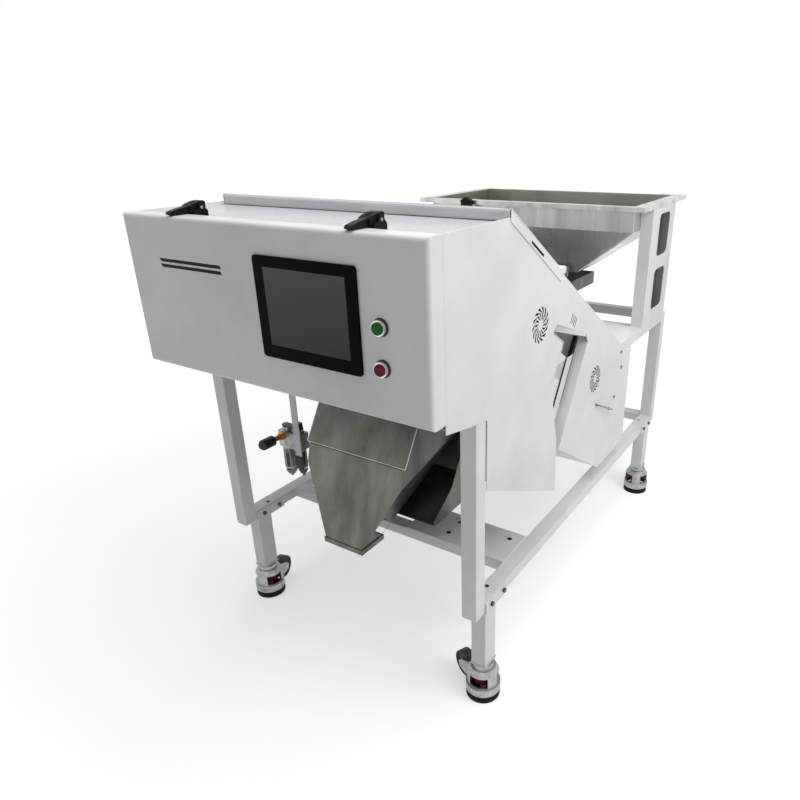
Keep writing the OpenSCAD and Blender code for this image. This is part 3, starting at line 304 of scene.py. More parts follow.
class SORTER_OT_painted(bpy.types.Operator):
    """Powder coat on the frame, the panels, the door and the lid"""
    bl_idname = "sorter.painted"
    bl_label = "Painted steel"

    def execute(self, context):
        sizes, colours = context.scene.sorter_sizes, context.scene.sorter_colours
        # Polyester powder, sprayed and baked: half-gloss white with a faint orange peel,
        # a little dust in broad patches.
        coat = worn("powder_coated_steel", colours.paint, linear("#DFDFE2"), 260, (0.26, 0.44), 2.2, 0.012,
                    IOR=1.5)
        dress(["cross_beams", "front_uprights", "rear_frame", "legs"], coat, 2 * sizes.edge)
        dress(["base_rails", "hinge_pins"], coat)
        dress(["deck_plates", "side_plate_left", "side_plate_right", "belly_panel", "front_camera_box",
               "rear_camera_box", "air_bracket", "hopper_posts", "front_door", "rear_lid"], coat, sizes.edge)
        # The same powder on the top panels, a little greyer: painted shade, standing for the darker
        # reflection that the panels show.
        thin = worn("top_panel_painted_shade_coat", linear("#D3D4D9"), linear("#C8C9CE"), 260, (0.2, 0.36), 2.2, 0.01,
                    IOR=1.5)
        dress(["top_panels"], thin, sizes.edge)
        return {"FINISHED"}


class SORTER_OT_sheet_trim(bpy.types.Operator):
    """Rolled hem of the lid, and the end sheets and guards of the camera boxes"""
    bl_idname = "sorter.sheet_trim"
    bl_label = "Sheet trim"

    def execute(self, context):
        coat = bpy.data.materials["powder_coated_steel"]
        radius = context.scene.sorter_sizes.hem
        low, high = box_mm("rear_lid")
        reach, hem_y, hem_z, parts = high.x - 6, low.y + 2, high.z - 5.76, 40
        hem = bmesh.new()
        run = [at(reach * (2 * k / parts - 1), hem_y, hem_z) for k in range(parts + 1)]
        end_radius = radius - 0.0012
        wire(hem, run, lambda k: radius if 0 < k < parts else end_radius, 20)
        piece("lid_front_hem", hem, coat, "lid")
        # Outlines as runs down the slope and rises square to it, from the box's lower rear edge.
        end_sheet = [(-197.5, 6), (-193.5, 2.5), (-6.5, 2.5), (-2.5, 6),
                     (-2.5, 224), (-6.5, 227.5), (-193.5, 227.5), (-197.5, 224)]
        guard = [(0.3, 148), (101, 148), (101, 208), (94, 214), (8, 214), (0.3, 208)]
        end_x, guard_x = 409, 388
        ends = bmesh.new()
        for side in SIDES:
            for x, outline in ((end_x, end_sheet), (guard_x, guard)):
                corners = [on_slope(BOX_FOOT, *point) for point in outline]
                plate(ends, [at(side * x, *c) for c in corners], Vector((side * SHEET, 0, 0)))
        piece("camera_box_ends", ends, coat, "body")
        return {"FINISHED"}


class SORTER_OT_stainless(bpy.types.Operator):
    """Stainless sheet of the hopper, the tray, the chute and both outlets"""
    bl_idname = "sorter.stainless"
    bl_label = "Stainless sheet"

    def execute(self, context):
        # Cold-rolled stainless, brushed by belt: fine lines along the sheet, and soft upright streaks in the
        # colour that are painted reflections.
        # Belt lines of about 0.2 mm are drawn 1.6 mm apart so that they show.
        brushing_and_painted_streaks = {"stretch": (0.03, 1, 1), "smear": (1, 1, 0.12), "Metallic": 1.0}
        pale, deep = linear("#E2E1DE"), linear("#B4B3AF")
        bright = worn("brushed_stainless", pale, deep, 70, (0.24, 0.42), 1.6, 0.02, **brushing_and_painted_streaks)
        dress(["hopper_gate", "chute"], bright, 0.6)
        # The hopper's bin is the same sheet, darker on the faces that look into the bin: painted shade.
        low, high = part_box("hopper")
        inner_shade = ((Vector(low) + Vector(high)) / 2, linear("#B8B6B1"))
        bin_sheet = worn("bin_stainless", pale, deep, 70, (0.24, 0.42), 1.6, 0.02, inner_shade=inner_shade, **brushing_and_painted_streaks)
        dress(["hopper"], bin_sheet, 0.6)
        # The same sheet where product runs over it: much greyer as painted shade, streaked downwards.
        shaded_sheet = worn("shaded_stainless", linear("#7B7974"), linear("#5A5853"), 90, (0.34, 0.54), 1.6, 0.02,
                     stretch=(1, 1, 0.03), smear=(1, 1, 0.2), Metallic=1.0)
        dress(["accept_hopper", "accept_cover", "reject_hopper", "feeder_tray"], shaded_sheet, 0.7)
        return {"FINISHED"}


class SORTER_OT_leaf_springs(bpy.types.Operator):
    """Leaf springs between the feeder's drive and its tray, which bend as the tray shakes"""
    bl_idname = "sorter.leaf_springs"
    bl_label = "Leaf springs"

    def execute(self, context):
        low, high = box_mm("feeder_springs")
        clamp = box_mm("feeder_base")[0].z + 50
        foot = box_mm("feeder_tray")[0].z
        thick, lean, parts = 4, 10, 12
        leaves = bmesh.new()
        for y in (low.y, high.y - thick - lean):
            shares = [k / parts for k in range(parts + 1)]
            bend = [(y + thick + lean * t, clamp + (foot - clamp) * t) for t in shares]
            rear = [(y + thick, low.z), *bend, (y + thick + lean, high.z)]
            outline = rear + [(a - thick, b) for a, b in rear[::-1]]
            plate(leaves, [at(low.x, *point) for point in outline], Vector(((high.x - low.x) / 1000, 0, 0)))
        made = piece("feeder_leaves", leaves, bpy.data.materials["brushed_stainless"], None)
        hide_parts("feeder_springs")
        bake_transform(made)
        return {"FINISHED"}


class SORTER_OT_cover_hem(bpy.types.Operator):
    """Folded hem along the lower edge and the ends of the outlet's cover"""
    bl_idname = "sorter.cover_hem"
    bl_label = "Cover hem"

    def execute(self, context):
        reach = box_mm("accept_cover")[1].x - 1.4
        places = ((reach, 143), (reach, 3.4), (-reach, 3.4), (-reach, 143))
        path = [at(x, *on_slope(COVER_FOOT, -2.4, rise)) for x, rise in places]
        radius, bend = 0.0013, 0.004
        hem = bmesh.new()
        wire(hem, rounded(path, bend), lambda i: radius, 10)
        piece("cover_hem", hem, bpy.data.materials["brushed_stainless"], "body")
        return {"FINISHED"}


class SORTER_OT_casters(bpy.types.Operator):
    """Levelling casters: cast bodies, nylon wheels, adjusting wheels and pads"""
    bl_idname = "sorter.casters"
    bl_label = "Levelling casters"

    def execute(self, context):
        # Die-cast aluminium, tumbled and lacquered: pale grey, softly uneven, satin.
        cast = worn("tumbled_die_cast", linear("#C2C2C0"), linear("#9A9A98"), 18, (0.28, 0.5), 1.2, 0.03,
                    Metallic=0.75)
        # Injection-moulded nylon: dark grey, matt, slightly scuffed on the tread.
        nylon = worn("moulded_grey_nylon", linear("#3B3B3C"), linear("#565554"), 12, (0.4, 0.62), 0.9, 0.03,
                     IOR=1.53, Specular_IOR_Level=0.2)
        corners = ("fr", "fl", "rr", "rl")
        dress(["caster_body_" + k for k in corners], cast, 0.8)
        dress(["caster_wheel_" + k for k in corners], nylon, 1.2)
        # Foot in one node: black moulded rubber pad, zinc-plated screw, dark red moulded adjusting wheel.
        foot, tree, place = new_finish("rubber_pad_and_red_nylon_wheel")
        pad_top, wheel_low, wheel_top = 0.0152, 0.0478, 0.0662
        height = add(tree, "ShaderNodeSeparateXYZ", links={"Vector": place}).outputs[2]
        mottle = add(tree, "ShaderNodeTexNoise", {"Scale": 900.0, "Detail": 3.0}, {"Vector": place})
        over_pad = add(tree, "ShaderNodeMath", {1: pad_top}, {0: height}, operation="GREATER_THAN")
        over_screw = add(tree, "ShaderNodeMath", {1: wheel_low}, {0: height}, operation="GREATER_THAN")
        under_top = add(tree, "ShaderNodeMath", {1: wheel_top}, {0: height}, operation="LESS_THAN")
        wheel = add(tree, "ShaderNodeMath", links={0: over_screw.outputs[0], 1: under_top.outputs[0]},
                    operation="MULTIPLY")
        rubber = add(tree, "ShaderNodeMix", {6: linear("#0C0C0C"), 7: linear("#232322")},
                     {0: mottle.outputs[0]}, data_type="RGBA")
        lower = add(tree, "ShaderNodeMix", {7: linear("#8F8F8C")},
                    {0: over_pad.outputs[0], 6: rubber.outputs[2]}, data_type="RGBA")
        colour = add(tree, "ShaderNodeMix", {7: context.scene.sorter_colours.grip},
                     {0: wheel.outputs[0], 6: lower.outputs[2]}, data_type="RGBA")
        gloss = add(tree, "ShaderNodeMapRange", {"To Min": 0.35, "To Max": 0.7}, {"Value": mottle.outputs[0]})
        relief = add(tree, "ShaderNodeBump", {"Strength": 1.0, "Distance": 0.00004},
                     {"Height": mottle.outputs[0]})
        links = {"Base Color": colour.outputs[2], "Roughness": gloss.outputs[0], "Normal": relief.outputs[0]}
        surface = add(tree, "ShaderNodeBsdfPrincipled", {"Specular IOR Level": 0.15}, links)
        add(tree, "ShaderNodeOutputMaterial", links={"Surface": surface.outputs[0]})
        dress(["caster_foot_" + k for k in corners], foot, 1.0)
        return {"FINISHED"}


class SORTER_OT_display(bpy.types.Operator):
    """Touch display: bezel and dark glass"""
    bl_idname = "sorter.display"
    bl_label = "Touch display"

    def execute(self, context):
        # Painted aluminium front of a panel computer: blue-black, satin, hardly any grain.
        bezel = worn("satin_black_aluminium", linear("#05070C"), linear("#090C14"), 40, (0.3, 0.45), 0.8,
                     0.006, IOR=1.5, Specular_IOR_Level=0.03)
        dress(["screen_frame"], bezel, 1.4)
        # Resistive touch glass over a display that is off: smooth, dark grey, lighter to the top as a painted
        # reflection.
        glass, tree, place = new_finish("touch_glass_painted_reflection")
        low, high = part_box("screen_glass")
        height = add(tree, "ShaderNodeSeparateXYZ", links={"Vector": place}).outputs[2]
        share = add(tree, "ShaderNodeMapRange", {"From Min": low[2], "From Max": high[2]}, {"Value": height})
        colour = add(tree, "ShaderNodeMix", {6: linear("#1E2125"), 7: linear("#4C4E51")},
                     {0: share.outputs[0]}, data_type="RGBA")
        smear = add(tree, "ShaderNodeTexNoise", {"Scale": 24.0, "Detail": 6.0, "Distortion": 0.6},
                    {"Vector": place})
        gloss = add(tree, "ShaderNodeMapRange", {"To Min": 0.1, "To Max": 0.3}, {"Value": smear.outputs[0]})
        surface = add(tree, "ShaderNodeBsdfPrincipled", {"IOR": 1.5, "Specular IOR Level": 0.25},
                      {"Base Color": colour.outputs[2], "Roughness": gloss.outputs[0]})
        add(tree, "ShaderNodeOutputMaterial", links={"Surface": surface.outputs[0]})
        dress(["screen_glass"], glass)
        return {"FINISHED"}


class SORTER_OT_buttons(bpy.types.Operator):
    """Push-buttons: plated rings, moulded caps and rubber gaskets"""
    bl_idname = "sorter.buttons"
    bl_label = "Push-buttons"

    def execute(self, context):
        colours = context.scene.sorter_colours
        # Chrome-plated ring: bright, nearly clean mirror with fine wiping marks.
        chrome = worn("chrome_plated_ring", linear("#D9DAD8"), linear("#C4C6C4"), 8, (0.08, 0.2), 0.6, 0.004,
                      Metallic=1.0)
        dress(["button_rings"], chrome, 0.8)
        # Moulded polycarbonate caps: clear colour with a satin face.
        caps = (("start_button", colours.start, "#0A3A1A"), ("stop_button", colours.stop, "#4A0512"))
        for node, colour, deep in caps:
            cap = worn(node + "_polycarbonate", colour, linear(deep), 9, (0.2, 0.36), 0.8, 0.01, IOR=1.58,
                       Specular_IOR_Level=0.15)
            dress([node], cap, 1.6)
        # Moulded rubber gasket between ring and door: black, matt.
        rubber = worn("moulded_gasket_rubber", linear("#0D0D0D"), linear("#191919"), 6, (0.5, 0.7), 0.7, 0.02,
                      IOR=1.52)
        profile = [(15.2, 0.05), (17.2, 0.05), (17.5, 1.6), (17.0, 2.6), (15.2, 2.9), (15.2, 0.05)]
        mesh = bmesh.new()
        for node in ("start_button", "stop_button"):
            low, high = box_mm(node)
            lathe(mesh, profile, at((low.x + high.x) / 2, 0, (low.z + high.z) / 2), (0, -1, 0), 40)
        piece("button_gaskets", mesh, rubber, "door")
        return {"FINISHED"}


class SORTER_OT_stripes(bpy.types.Operator):
    """Two plain film stripes on the door"""
    bl_idname = "sorter.stripes"
    bl_label = "Door stripes"

    def execute(self, context):
        sizes = context.scene.sorter_sizes
        # Cut vinyl film: blue-black, glossy, edges sharp.
        blue = context.scene.sorter_colours.stripe
        film = worn("cut_vinyl_film", blue, linear("#0D1830"), 60, (0.18, 0.3), 1.5, 0.004, IOR=1.5,
                    Specular_IOR_Level=0.08)
        mesh = bmesh.new()
        for top in (1097, 1085):
            drop = sizes.stripe * 1000
            corners = [(-305, top), (-106, top), (-103, top - drop), (-299, top - drop)]
            plate(mesh, [at(x, 0, z) for x, z in corners], Vector((0, -sizes.film, 0)))
        piece("door_stripes", mesh, film, "door")
        return {"FINISHED"}


class SORTER_OT_latches(bpy.types.Operator):
    """Door latches with their pins and grip ribs, and the hopper gate's knob"""
    bl_idname = "sorter.latches"
    bl_label = "Latches and knob"

    def execute(self, context):
        # Glass-filled nylon, moulded: charcoal black, eroded grain, edges polished by hands.
        nylon = worn("grained_black_nylon", linear("#0B0C0D"), linear("#151617"), 9, (0.32, 0.55), 0.7, 0.03,
                     IOR=1.53, Specular_IOR_Level=0.12)
        dress(["latch_bases", "latch_lever_left", "latch_lever_right"], nylon, 1.5)
        dress(["gate_knob"], nylon, 1.5)
        # Turned steel pin ends: zinc plated, bright.
        plated = worn("zinc_plated_pin", linear("#B9BAB6"), linear("#94958F"), 5, (0.2, 0.36), 0.5, 0.01,
                      Metallic=1.0)
        pin_head = [(0, 0.9), (1.6, 0.8), (2.6, 0.3), (3.4, 0.1), (3.4, -0.2)]
        pin_x, pin_y, pin_z = 18.5, 74, 1200
        rib_half, rib_y, rib_z, step_y, step_z, parts = 10, 56.5, 1208.7, 4.2, 1.05, 8
        pins = bmesh.new()
        for way in ("left", "right"):
            low, high = box_mm("latch_lever_" + way)
            middle = (low.x + high.x) / 2
            ribs = bmesh.new()
            for k in range(4):
                y, z = rib_y + step_y * k, rib_z + step_z * k
                run = [at(middle + rib_half * (2 * i / parts - 1), y, z) for i in range(parts + 1)]
                wire(ribs, run, lambda i: 0.0004 + 0.0007 * math.sin(math.pi * i / parts), 8)
            piece("latch_ribs_" + way, ribs, nylon, "latch_" + way)
            for side in SIDES:
                lathe(pins, pin_head, at(middle + side * pin_x, pin_y, pin_z), (side, 0, 0), 20)
        piece("latch_pin_heads", pins, plated, "body")
        return {"FINISHED"}


class SORTER_OT_air_unit(bpy.types.Operator):
    """Finishes of the air filter, its bowls and its inlet, and of the opening's edge seals"""
    bl_idname = "sorter.air_unit"
    bl_label = "Air filter"

    def execute(self, context):
        # Pressure die-casting, shot-blasted and clear coated: mid grey metal, fine pits.
        cast = worn("blasted_die_cast", linear("#B5B5B1"), linear("#8A8A86"), 16, (0.3, 0.5), 0.9, 0.03,
                    Metallic=0.85)
        dress(["air_filter_body"], cast, 1.2)
        # Machined brass hose tail: yellow metal with turning marks.
        brass = worn("turned_brass", linear("#C09A4A"), linear("#93722F"), 8, (0.22, 0.42), 0.6, 0.02,
                     stretch=(1, 0.2, 1), Metallic=1.0)
        dress(["inlet_nipple"], brass, 0.6)
        # Vulcanised rubber cap: black with a soft sheen.
        rubber = worn("soft_rubber_cap", linear("#0C0C0D"), linear("#1B1B1C"), 10, (0.36, 0.56), 1.0, 0.03,
                      IOR=1.52)
        dress(["inlet_cap", "edge_seals"], rubber, 1.5)
        # Bowls in one node: a die-cast guard with dark sight windows on the left,
        # black moulded nylon on the right.
        bowl, tree, place = new_finish("cast_guard_and_black_bowl")
        low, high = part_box("air_filter_bowls")
        left_middle, between = low[0] + 0.017, low[0] + 0.042
        middle_y, window_z = (low[1] + high[1]) / 2, (low[2] + high[2]) / 2 + 0.002
        x, y, z = add(tree, "ShaderNodeSeparateXYZ", links={"Vector": place}).outputs
        off_x = add(tree, "ShaderNodeMath", {1: left_middle}, {0: x}, operation="SUBTRACT")
        off_y = add(tree, "ShaderNodeMath", {1: middle_y}, {0: y}, operation="SUBTRACT")
        angle = add(tree, "ShaderNodeMath", links={0: off_y.outputs[0], 1: off_x.outputs[0]},
                    operation="ARCTAN2")
        turns = add(tree, "ShaderNodeMath", {1: 4.0}, {0: angle.outputs[0]}, operation="MULTIPLY")
        wave = add(tree, "ShaderNodeMath", links={0: turns.outputs[0]}, operation="SINE")
        pane = add(tree, "ShaderNodeMath", {1: -0.1}, {0: wave.outputs[0]}, operation="GREATER_THAN")
        window = add(tree, "ShaderNodeMath", {1: window_z, 2: 0.03}, {0: z}, operation="COMPARE")
        dark = add(tree, "ShaderNodeMath", links={0: pane.outputs[0], 1: window.outputs[0]},
                   operation="MULTIPLY")
        right = add(tree, "ShaderNodeMath", {1: between}, {0: x}, operation="GREATER_THAN")
        black = add(tree, "ShaderNodeMath", links={0: dark.outputs[0], 1: right.outputs[0]},
                    operation="MAXIMUM")
        haze = add(tree, "ShaderNodeTexNoise", {"Scale": 60.0, "Detail": 4.0}, {"Vector": place})
        grey = add(tree, "ShaderNodeMix", {6: linear("#9C9D9A"), 7: linear("#7E7F7C")}, {0: haze.outputs[0]},
                   data_type="RGBA")
        colour = add(tree, "ShaderNodeMix", {7: linear("#17191A")}, {0: black.outputs[0], 6: grey.outputs[2]},
                     data_type="RGBA")
        gloss = add(tree, "ShaderNodeMapRange", {"To Min": 0.16, "To Max": 0.36}, {"Value": haze.outputs[0]})
        surface = add(tree, "ShaderNodeBsdfPrincipled", {"IOR": 1.58},
                      {"Base Color": colour.outputs[2], "Roughness": gloss.outputs[0]})
        add(tree, "ShaderNodeOutputMaterial", links={"Surface": surface.outputs[0]})
        dress(["air_filter_bowls"], bowl)
        return {"FINISHED"}


class SORTER_OT_air_fittings(bpy.types.Operator):
    """Clamp plate, adjusting knob, bracket sleeve and bowl guards of the air filter"""
    bl_idname = "sorter.air_fittings"
    bl_label = "Air fittings"

    def execute(self, context):
        low, high = box_mm("air_filter_body")
        middle = (low + high) / 2
        # Injection-moulded nylon: black, matt, lightly scuffed.
        black = worn("moulded_black_nylon", linear("#121313"), linear("#222323"), 8, (0.35, 0.55), 0.8, 0.03,
                     IOR=1.53)
        mesh = bmesh.new()
        clamp = [(-34, -9), (30, -9), (36, -3), (36, 9), (30, 13), (-34, 13), (-40, 7), (-40, -3)]
        plate(mesh, [at(middle.x + x, middle.y + y, high.z + 0.2) for x, y in clamp], Vector((0, 0, 0.005)))
        knob_x, knob_r, rib_count = middle.x + 24, 12.6, 18
        for k in range(rib_count):
            a = 2 * math.pi * k / rib_count
            rib = at(knob_x + knob_r * math.cos(a), middle.y + knob_r * math.sin(a), high.z + 5.2)
            wire(mesh, [rib, rib + Vector((0, 0, 0.013))], lambda i: 0.0014, 8)
        knob = [(0, 20), (11, 20), (knob_r, 18.5), (knob_r, 5.2), (0, 5.2)]
        lathe(mesh, knob, at(knob_x, middle.y, high.z), (0, 0, 1), 36)
        # Sleeve on the lower end of the bracket: half width 14 and half depth about 5.
        sleeve_x, sleeve_y = -292, 321.5
        sleeve = [(-14, -2.5), (-11, -5), (11, -5), (14, -2.5), (14, 3.5), (11, 5.5), (-11, 5.5), (-14, 3.5)]
        for z, tall, inset in ((428, 36, 0), (425, 3, 2), (464, 2.5, 1.5)):
            wide, deep = 1 - inset / 14, 1 - inset / 6
            outline = [at(sleeve_x + x * wide, sleeve_y + y * deep, z) for x, y in sleeve]
            plate(mesh, outline, Vector((0, 0, tall / 1000)))
        piece("air_filter_knob", mesh, black, "body")
        # Each bowl's place off the middle, its guard's radius and its depth.
        bowls = ((-24, 17.2, 70), (26, 14.2, 60))
        guards = bmesh.new()
        for off_x, radius, drop in bowls:
            for k in range(4):
                a = 2 * math.pi * (k - 0.5) / 4
                top = at(middle.x + off_x + radius * math.cos(a), middle.y + radius * math.sin(a), low.z - 1)
                wire(guards, [top, top - Vector((0, 0, drop / 1000))], lambda i: 0.0016, 8)
            inner, outer = radius - 0.6, radius + 1.2
            for z in (low.z - 3, low.z - drop):
                lathe(guards, [(inner, 3), (outer, 3), (outer, -3), (inner, -3), (inner, 3)],
                      at(middle.x + off_x, middle.y, z), (0, 0, 1), 32)
        piece("bowl_guards", guards, bpy.data.materials["blasted_die_cast"], "body")
        return {"FINISHED"}


class SORTER_OT_side_fittings(bpy.types.Operator):
    """Button-head bolts and wire handles on both side plates, and the finish of the leg screws"""
    bl_idname = "sorter.side_fittings"
    bl_label = "Side fittings"

    def execute(self, context):
        # Machine screws and bent wire, zinc plated: grey, slightly milky metal.
        plated = worn("zinc_plated_steel", linear("#8E8F8B"), linear("#6C6D6A"), 6, (0.26, 0.42), 0.6, 0.012,
                      Metallic=1.0)
        # Black-oxide screws in the leg plates: dark grey, oily sheen.
        oxide = worn("black_oxide_steel", linear("#5B5B59"), linear("#464644"), 6, (0.3, 0.46), 0.6, 0.012,
                     Metallic=1.0)
        dress(["leg_fasteners"], oxide, 0.5)
        face = box_mm("side_plate_right")[1].x
        stand = face + 13
        bolts = ((1048, 701), (1062, 647), (1016, 561))
        front, rear = (858, 589), (977, 534)
        bolt = [(0, 1.4), (2.2, 1.4), (2.3, 3.2), (3.6, 3.0), (5.2, 1.9), (5.7, 0.4), (5.7, 0.02)]
        foot = [(2.5, 1.6), (5.6, 1.4), (6.2, 0.02)]
        radius, bend = context.scene.sorter_sizes.handle, 0.007
        mesh = bmesh.new()
        for side in SIDES:
            for y, z in bolts:
                lathe(mesh, bolt, at(side * face, y, z), (side, 0, 0), 24)
            path = [at(side * x, *p) for x, p in ((face, front), (stand, front), (stand, rear), (face, rear))]
            wire(mesh, rounded(path, bend), lambda i: radius, 12)
            for p in (front, rear):
                lathe(mesh, foot, at(side * face, *p), (side, 0, 0), 24)
        piece("side_bolts_and_handles", mesh, plated, "body")
        return {"FINISHED"}


class SORTER_OT_screens(bpy.types.Operator):
    """Foam behind the vents and the lid's slots, and sponge strips in the side openings"""
    bl_idname = "sorter.screens"
    bl_label = "Screens and strips"

    def execute(self, context):
        # Open-cell filter foam: charcoal, matt, drawn with 3 mm cells.
        foam = worn("charcoal_filter_foam", linear("#1C1C1D"), linear("#303031"), 4, (0.7, 0.9), 3.0, 0.3,
                    IOR=1.45, Specular_IOR_Level=0.1)
        face = box_mm("side_plate_right")[1].x
        in_plate, in_lid, on_guard = face - 0.8, face + 0.9, 389.5
        thin, thick = 0.0005, 0.0023
        strip = [(96, 60), (103, 60), (103, 206), (99.5, 213), (96, 206)]
        vents = ((444, 935, 43), (832, 680, 41))
        louvre, lid_start = Vector((641.5, 899)), Vector((288, 1202.2))
        slot = on_slope(lid_start, 153, -13)
        screens, inserts, sponge = bmesh.new(), bmesh.new(), bmesh.new()
        for side in SIDES:
            for y, z, radius in vents:
                angles = [math.pi * k / 16 for k in range(32)]
                ring = [(y + radius * math.cos(a), z + radius * math.sin(a)) for a in angles]
                plate(screens, [at(side * in_plate, *c) for c in ring], Vector((side * thin, 0, 0)))
            for into, x, middle, run, rise in (
                    (screens, in_plate, louvre, 19, 14), (inserts, in_lid, slot, 39, 4.5)):
                places = ((-run, -rise), (run, -rise), (run, rise), (-run, rise))
                corners = [on_slope(middle, *place) for place in places]
                plate(into, [at(side * x, *c) for c in corners], Vector((side * thin, 0, 0)))
            corners = [on_slope(BOX_FOOT, *point) for point in strip]
            plate(sponge, [at(side * on_guard, *c) for c in corners], Vector((side * thick, 0, 0)))
        piece("vent_screens", screens, foam, "body")
        piece("lid_slot_inserts", inserts, foam, "lid")
        piece("chamber_strips", sponge, foam, "body")
        return {"FINISHED"}


class SORTER_OT_closures(bpy.types.Operator):
    """Door seal, plugs in the deck and closing sheets in the hopper posts"""
    bl_idname = "sorter.closures"
    bl_label = "Seal, plugs and closing sheets"

    def execute(self, context):
        # Extruded rubber bulb seal round the door: grey, matt; its grey also stands for the painted shade in
        # the gap between door and side plates.
        seal = worn("extruded_bulb_seal", linear("#5C5C5E"), linear("#4A4A4C"), 12, (0.5, 0.7), 1.0, 0.02,
                    IOR=1.52)
        low, high = box_mm("side_plate_right")
        x, y, foot, top = high.x, low.y - 1, 843, high.z - 1.4
        radius, bend = context.scene.sorter_sizes.seal, 0.004
        bulb = bmesh.new()
        path = [at(x, y, foot), at(x, y, top), at(-x, y, top), at(-x, y, foot)]
        wire(bulb, rounded(path, bend), lambda i: radius, 10)
        piece("door_seal", bulb, seal, "body")
        # Moulded plugs in the deck holes, black and slightly domed: dark things standing for the painted
        # shade in the holes.
        deck_top = box_mm("base_rails")[1].z + 3
        deck_holes = ((180, 404), (180, 464), (340, 464))
        profile = [(0, 1.6), (4, 1.4), (6.4, 0.6), (6.8, 0.02), (4.8, 0.02), (4.7, -3.6), (0, -3.6)]
        plugs = bmesh.new()
        for x, y in deck_holes:
            lathe(plugs, profile, at(x, y, deck_top), (0, 0, 1), 24)
        piece("deck_plugs", plugs, bpy.data.materials["grained_black_nylon"], "body")
        # Closing sheets in the hopper posts: grey as painted shade in the posts, softly patchy.
        post_shade_grey = worn("post_painted_shade_sheet", linear("#B6B7BA"), linear("#A0A1A4"), 22, (0.4, 0.6), 2.0, 0.01,
                    IOR=1.5)
        low, high = box_mm("hopper_posts")
        y0, y1, z0, z1 = low.y + 4, high.y - 4, low.z + 4, high.z - 4
        outline = [(y0, z0), (y1, z0), (y1, z1 - 6), (y1 - 6, z1), (y0 + 6, z1), (y0, z1 - 6)]
        sheet_x, thick = high.x - 37, 0.0015
        backs = bmesh.new()
        for side in SIDES:
            plate(backs, [at(side * sheet_x, *c) for c in outline], Vector((side * -thick, 0, 0)))
        piece("post_backs", backs, post_shade_grey, "body")
        return {"FINISHED"}


class SORTER_OT_seams(bpy.types.Operator):
    """Weld beads of the tube frame and of the hopper"""
    bl_idname = "sorter.seams"
    bl_label = "Weld seams"

    def execute(self, context):
        bead = context.scene.sorter_sizes.bead
        coat = bpy.data.materials["powder_coated_steel"]
        bright = bpy.data.materials["brushed_stainless"]

        def seam(mesh, start, end, radius):
            count = max(int((end - start).length / 0.003), 4)
            run = [start.lerp(end, k / count) for k in range(count + 1)]
            wire(mesh, run, lambda k: radius * (0.86 + 0.14 * (k % 2)), 8)

        frame_mesh = bmesh.new()
        rails, posts = box_mm("base_rails"), box_mm("rear_frame")
        inner = box_mm("cross_beams")[1].x
        outer = inner + 40
        rail_top = rails[1].z
        low_run, high_run = (rails[0].z + 1, rail_top - 1), (posts[1].z - 29, posts[1].z - 1)
        low_places, high_places, top_places = (364, 404, 1490), (1257, 1297, 1490), (200, 1490)
        for side in SIDES:
            for (low, high), places in ((low_run, low_places), (high_run, high_places)):
                for y in places:
                    seam(frame_mesh, at(side * inner, y, low), at(side * inner, y, high), bead)
            for y in top_places:
                seam(frame_mesh, at(side * inner, y, rail_top), at(side * outer, y, rail_top), bead)
        piece("frame_welds", frame_mesh, coat, "body")
        wall_x, throat_x = 373.5, 189.5
        rim_z, knee_z, throat_z = 1107, 1042, 901
        hopper_mesh = bmesh.new()
        for side in SIDES:
            for top_y, low_y in ((1185.5, 1205.5), (1599.5, 1328.5)):
                knee = at(side * wall_x, top_y, knee_z)
                seam(hopper_mesh, knee, at(side * throat_x, low_y, throat_z), bead)
                seam(hopper_mesh, knee, at(side * wall_x, top_y, rim_z), bead * 0.7)
        piece("hopper_welds", hopper_mesh, bright, "body")
        return {"FINISHED"}


class SORTER_OT_inner_works(bpy.types.Operator):
    """Cameras, lamps, glass, ejectors, drive and controls"""
    bl_idname = "sorter.inner_works"
    bl_label = "Inner works"

    def execute(self, context):
        # Folded and anodised cases: grey, even, satin.
        case = worn("anodised_case", linear("#77787B"), linear("#66676A"), 30, (0.34, 0.5), 0.8, 0.01,
                    Metallic=0.8)
        dress(["cameras", "power_supply", "control_computer"], case, 0.8)
        # Extruded aluminium block, milled: pale metal with cutter lines.
        milled = worn("milled_aluminium", linear("#C4C5C6"), linear("#ABACAD"), 24, (0.24, 0.42), 1.4, 0.015,
                      stretch=(1, 1, 0.1), Metallic=1.0)
        dress(["ejector_manifold"], milled, 0.6)
        dress(["ejector_valves"], bpy.data.materials["moulded_black_nylon"], 0.8)
        # Moulded opal diffuser: milky white, soft gloss.
        opal = worn("opal_diffuser", linear("#F3F1E6"), linear("#E6E4D8"), 20, (0.3, 0.45), 1.0, 0.01,
                    IOR=1.49)
        dress(["light_bars"], opal, 0.8)
        # Grey iron casting, enamelled: dark, slightly rough sand texture.
        iron = worn("enamelled_casting", linear("#4A4C4E"), linear("#393B3D"), 14, (0.4, 0.6), 2.0, 0.08,
                    IOR=1.5)
        dress(["feeder_base"], iron, 1.5)
        # Float glass: clear with a faint green edge and wiping haze.
        glass, tree, place = new_finish("clear_float_glass")
        haze = add(tree, "ShaderNodeTexNoise", {"Scale": 30.0, "Detail": 5.0}, {"Vector": place})
        gloss = add(tree, "ShaderNodeMapRange", {"To Min": 0.02, "To Max": 0.12}, {"Value": haze.outputs[0]})
        clear = {"Base Color": linear("#DCE8E2"), "IOR": 1.52, "Transmission Weight": 0.9}
        surface = add(tree, "ShaderNodeBsdfPrincipled", clear, {"Roughness": gloss.outputs[0]})
        add(tree, "ShaderNodeOutputMaterial", links={"Surface": surface.outputs[0]})
        dress(["inspection_glasses"], glass)
        return {"FINISHED"}


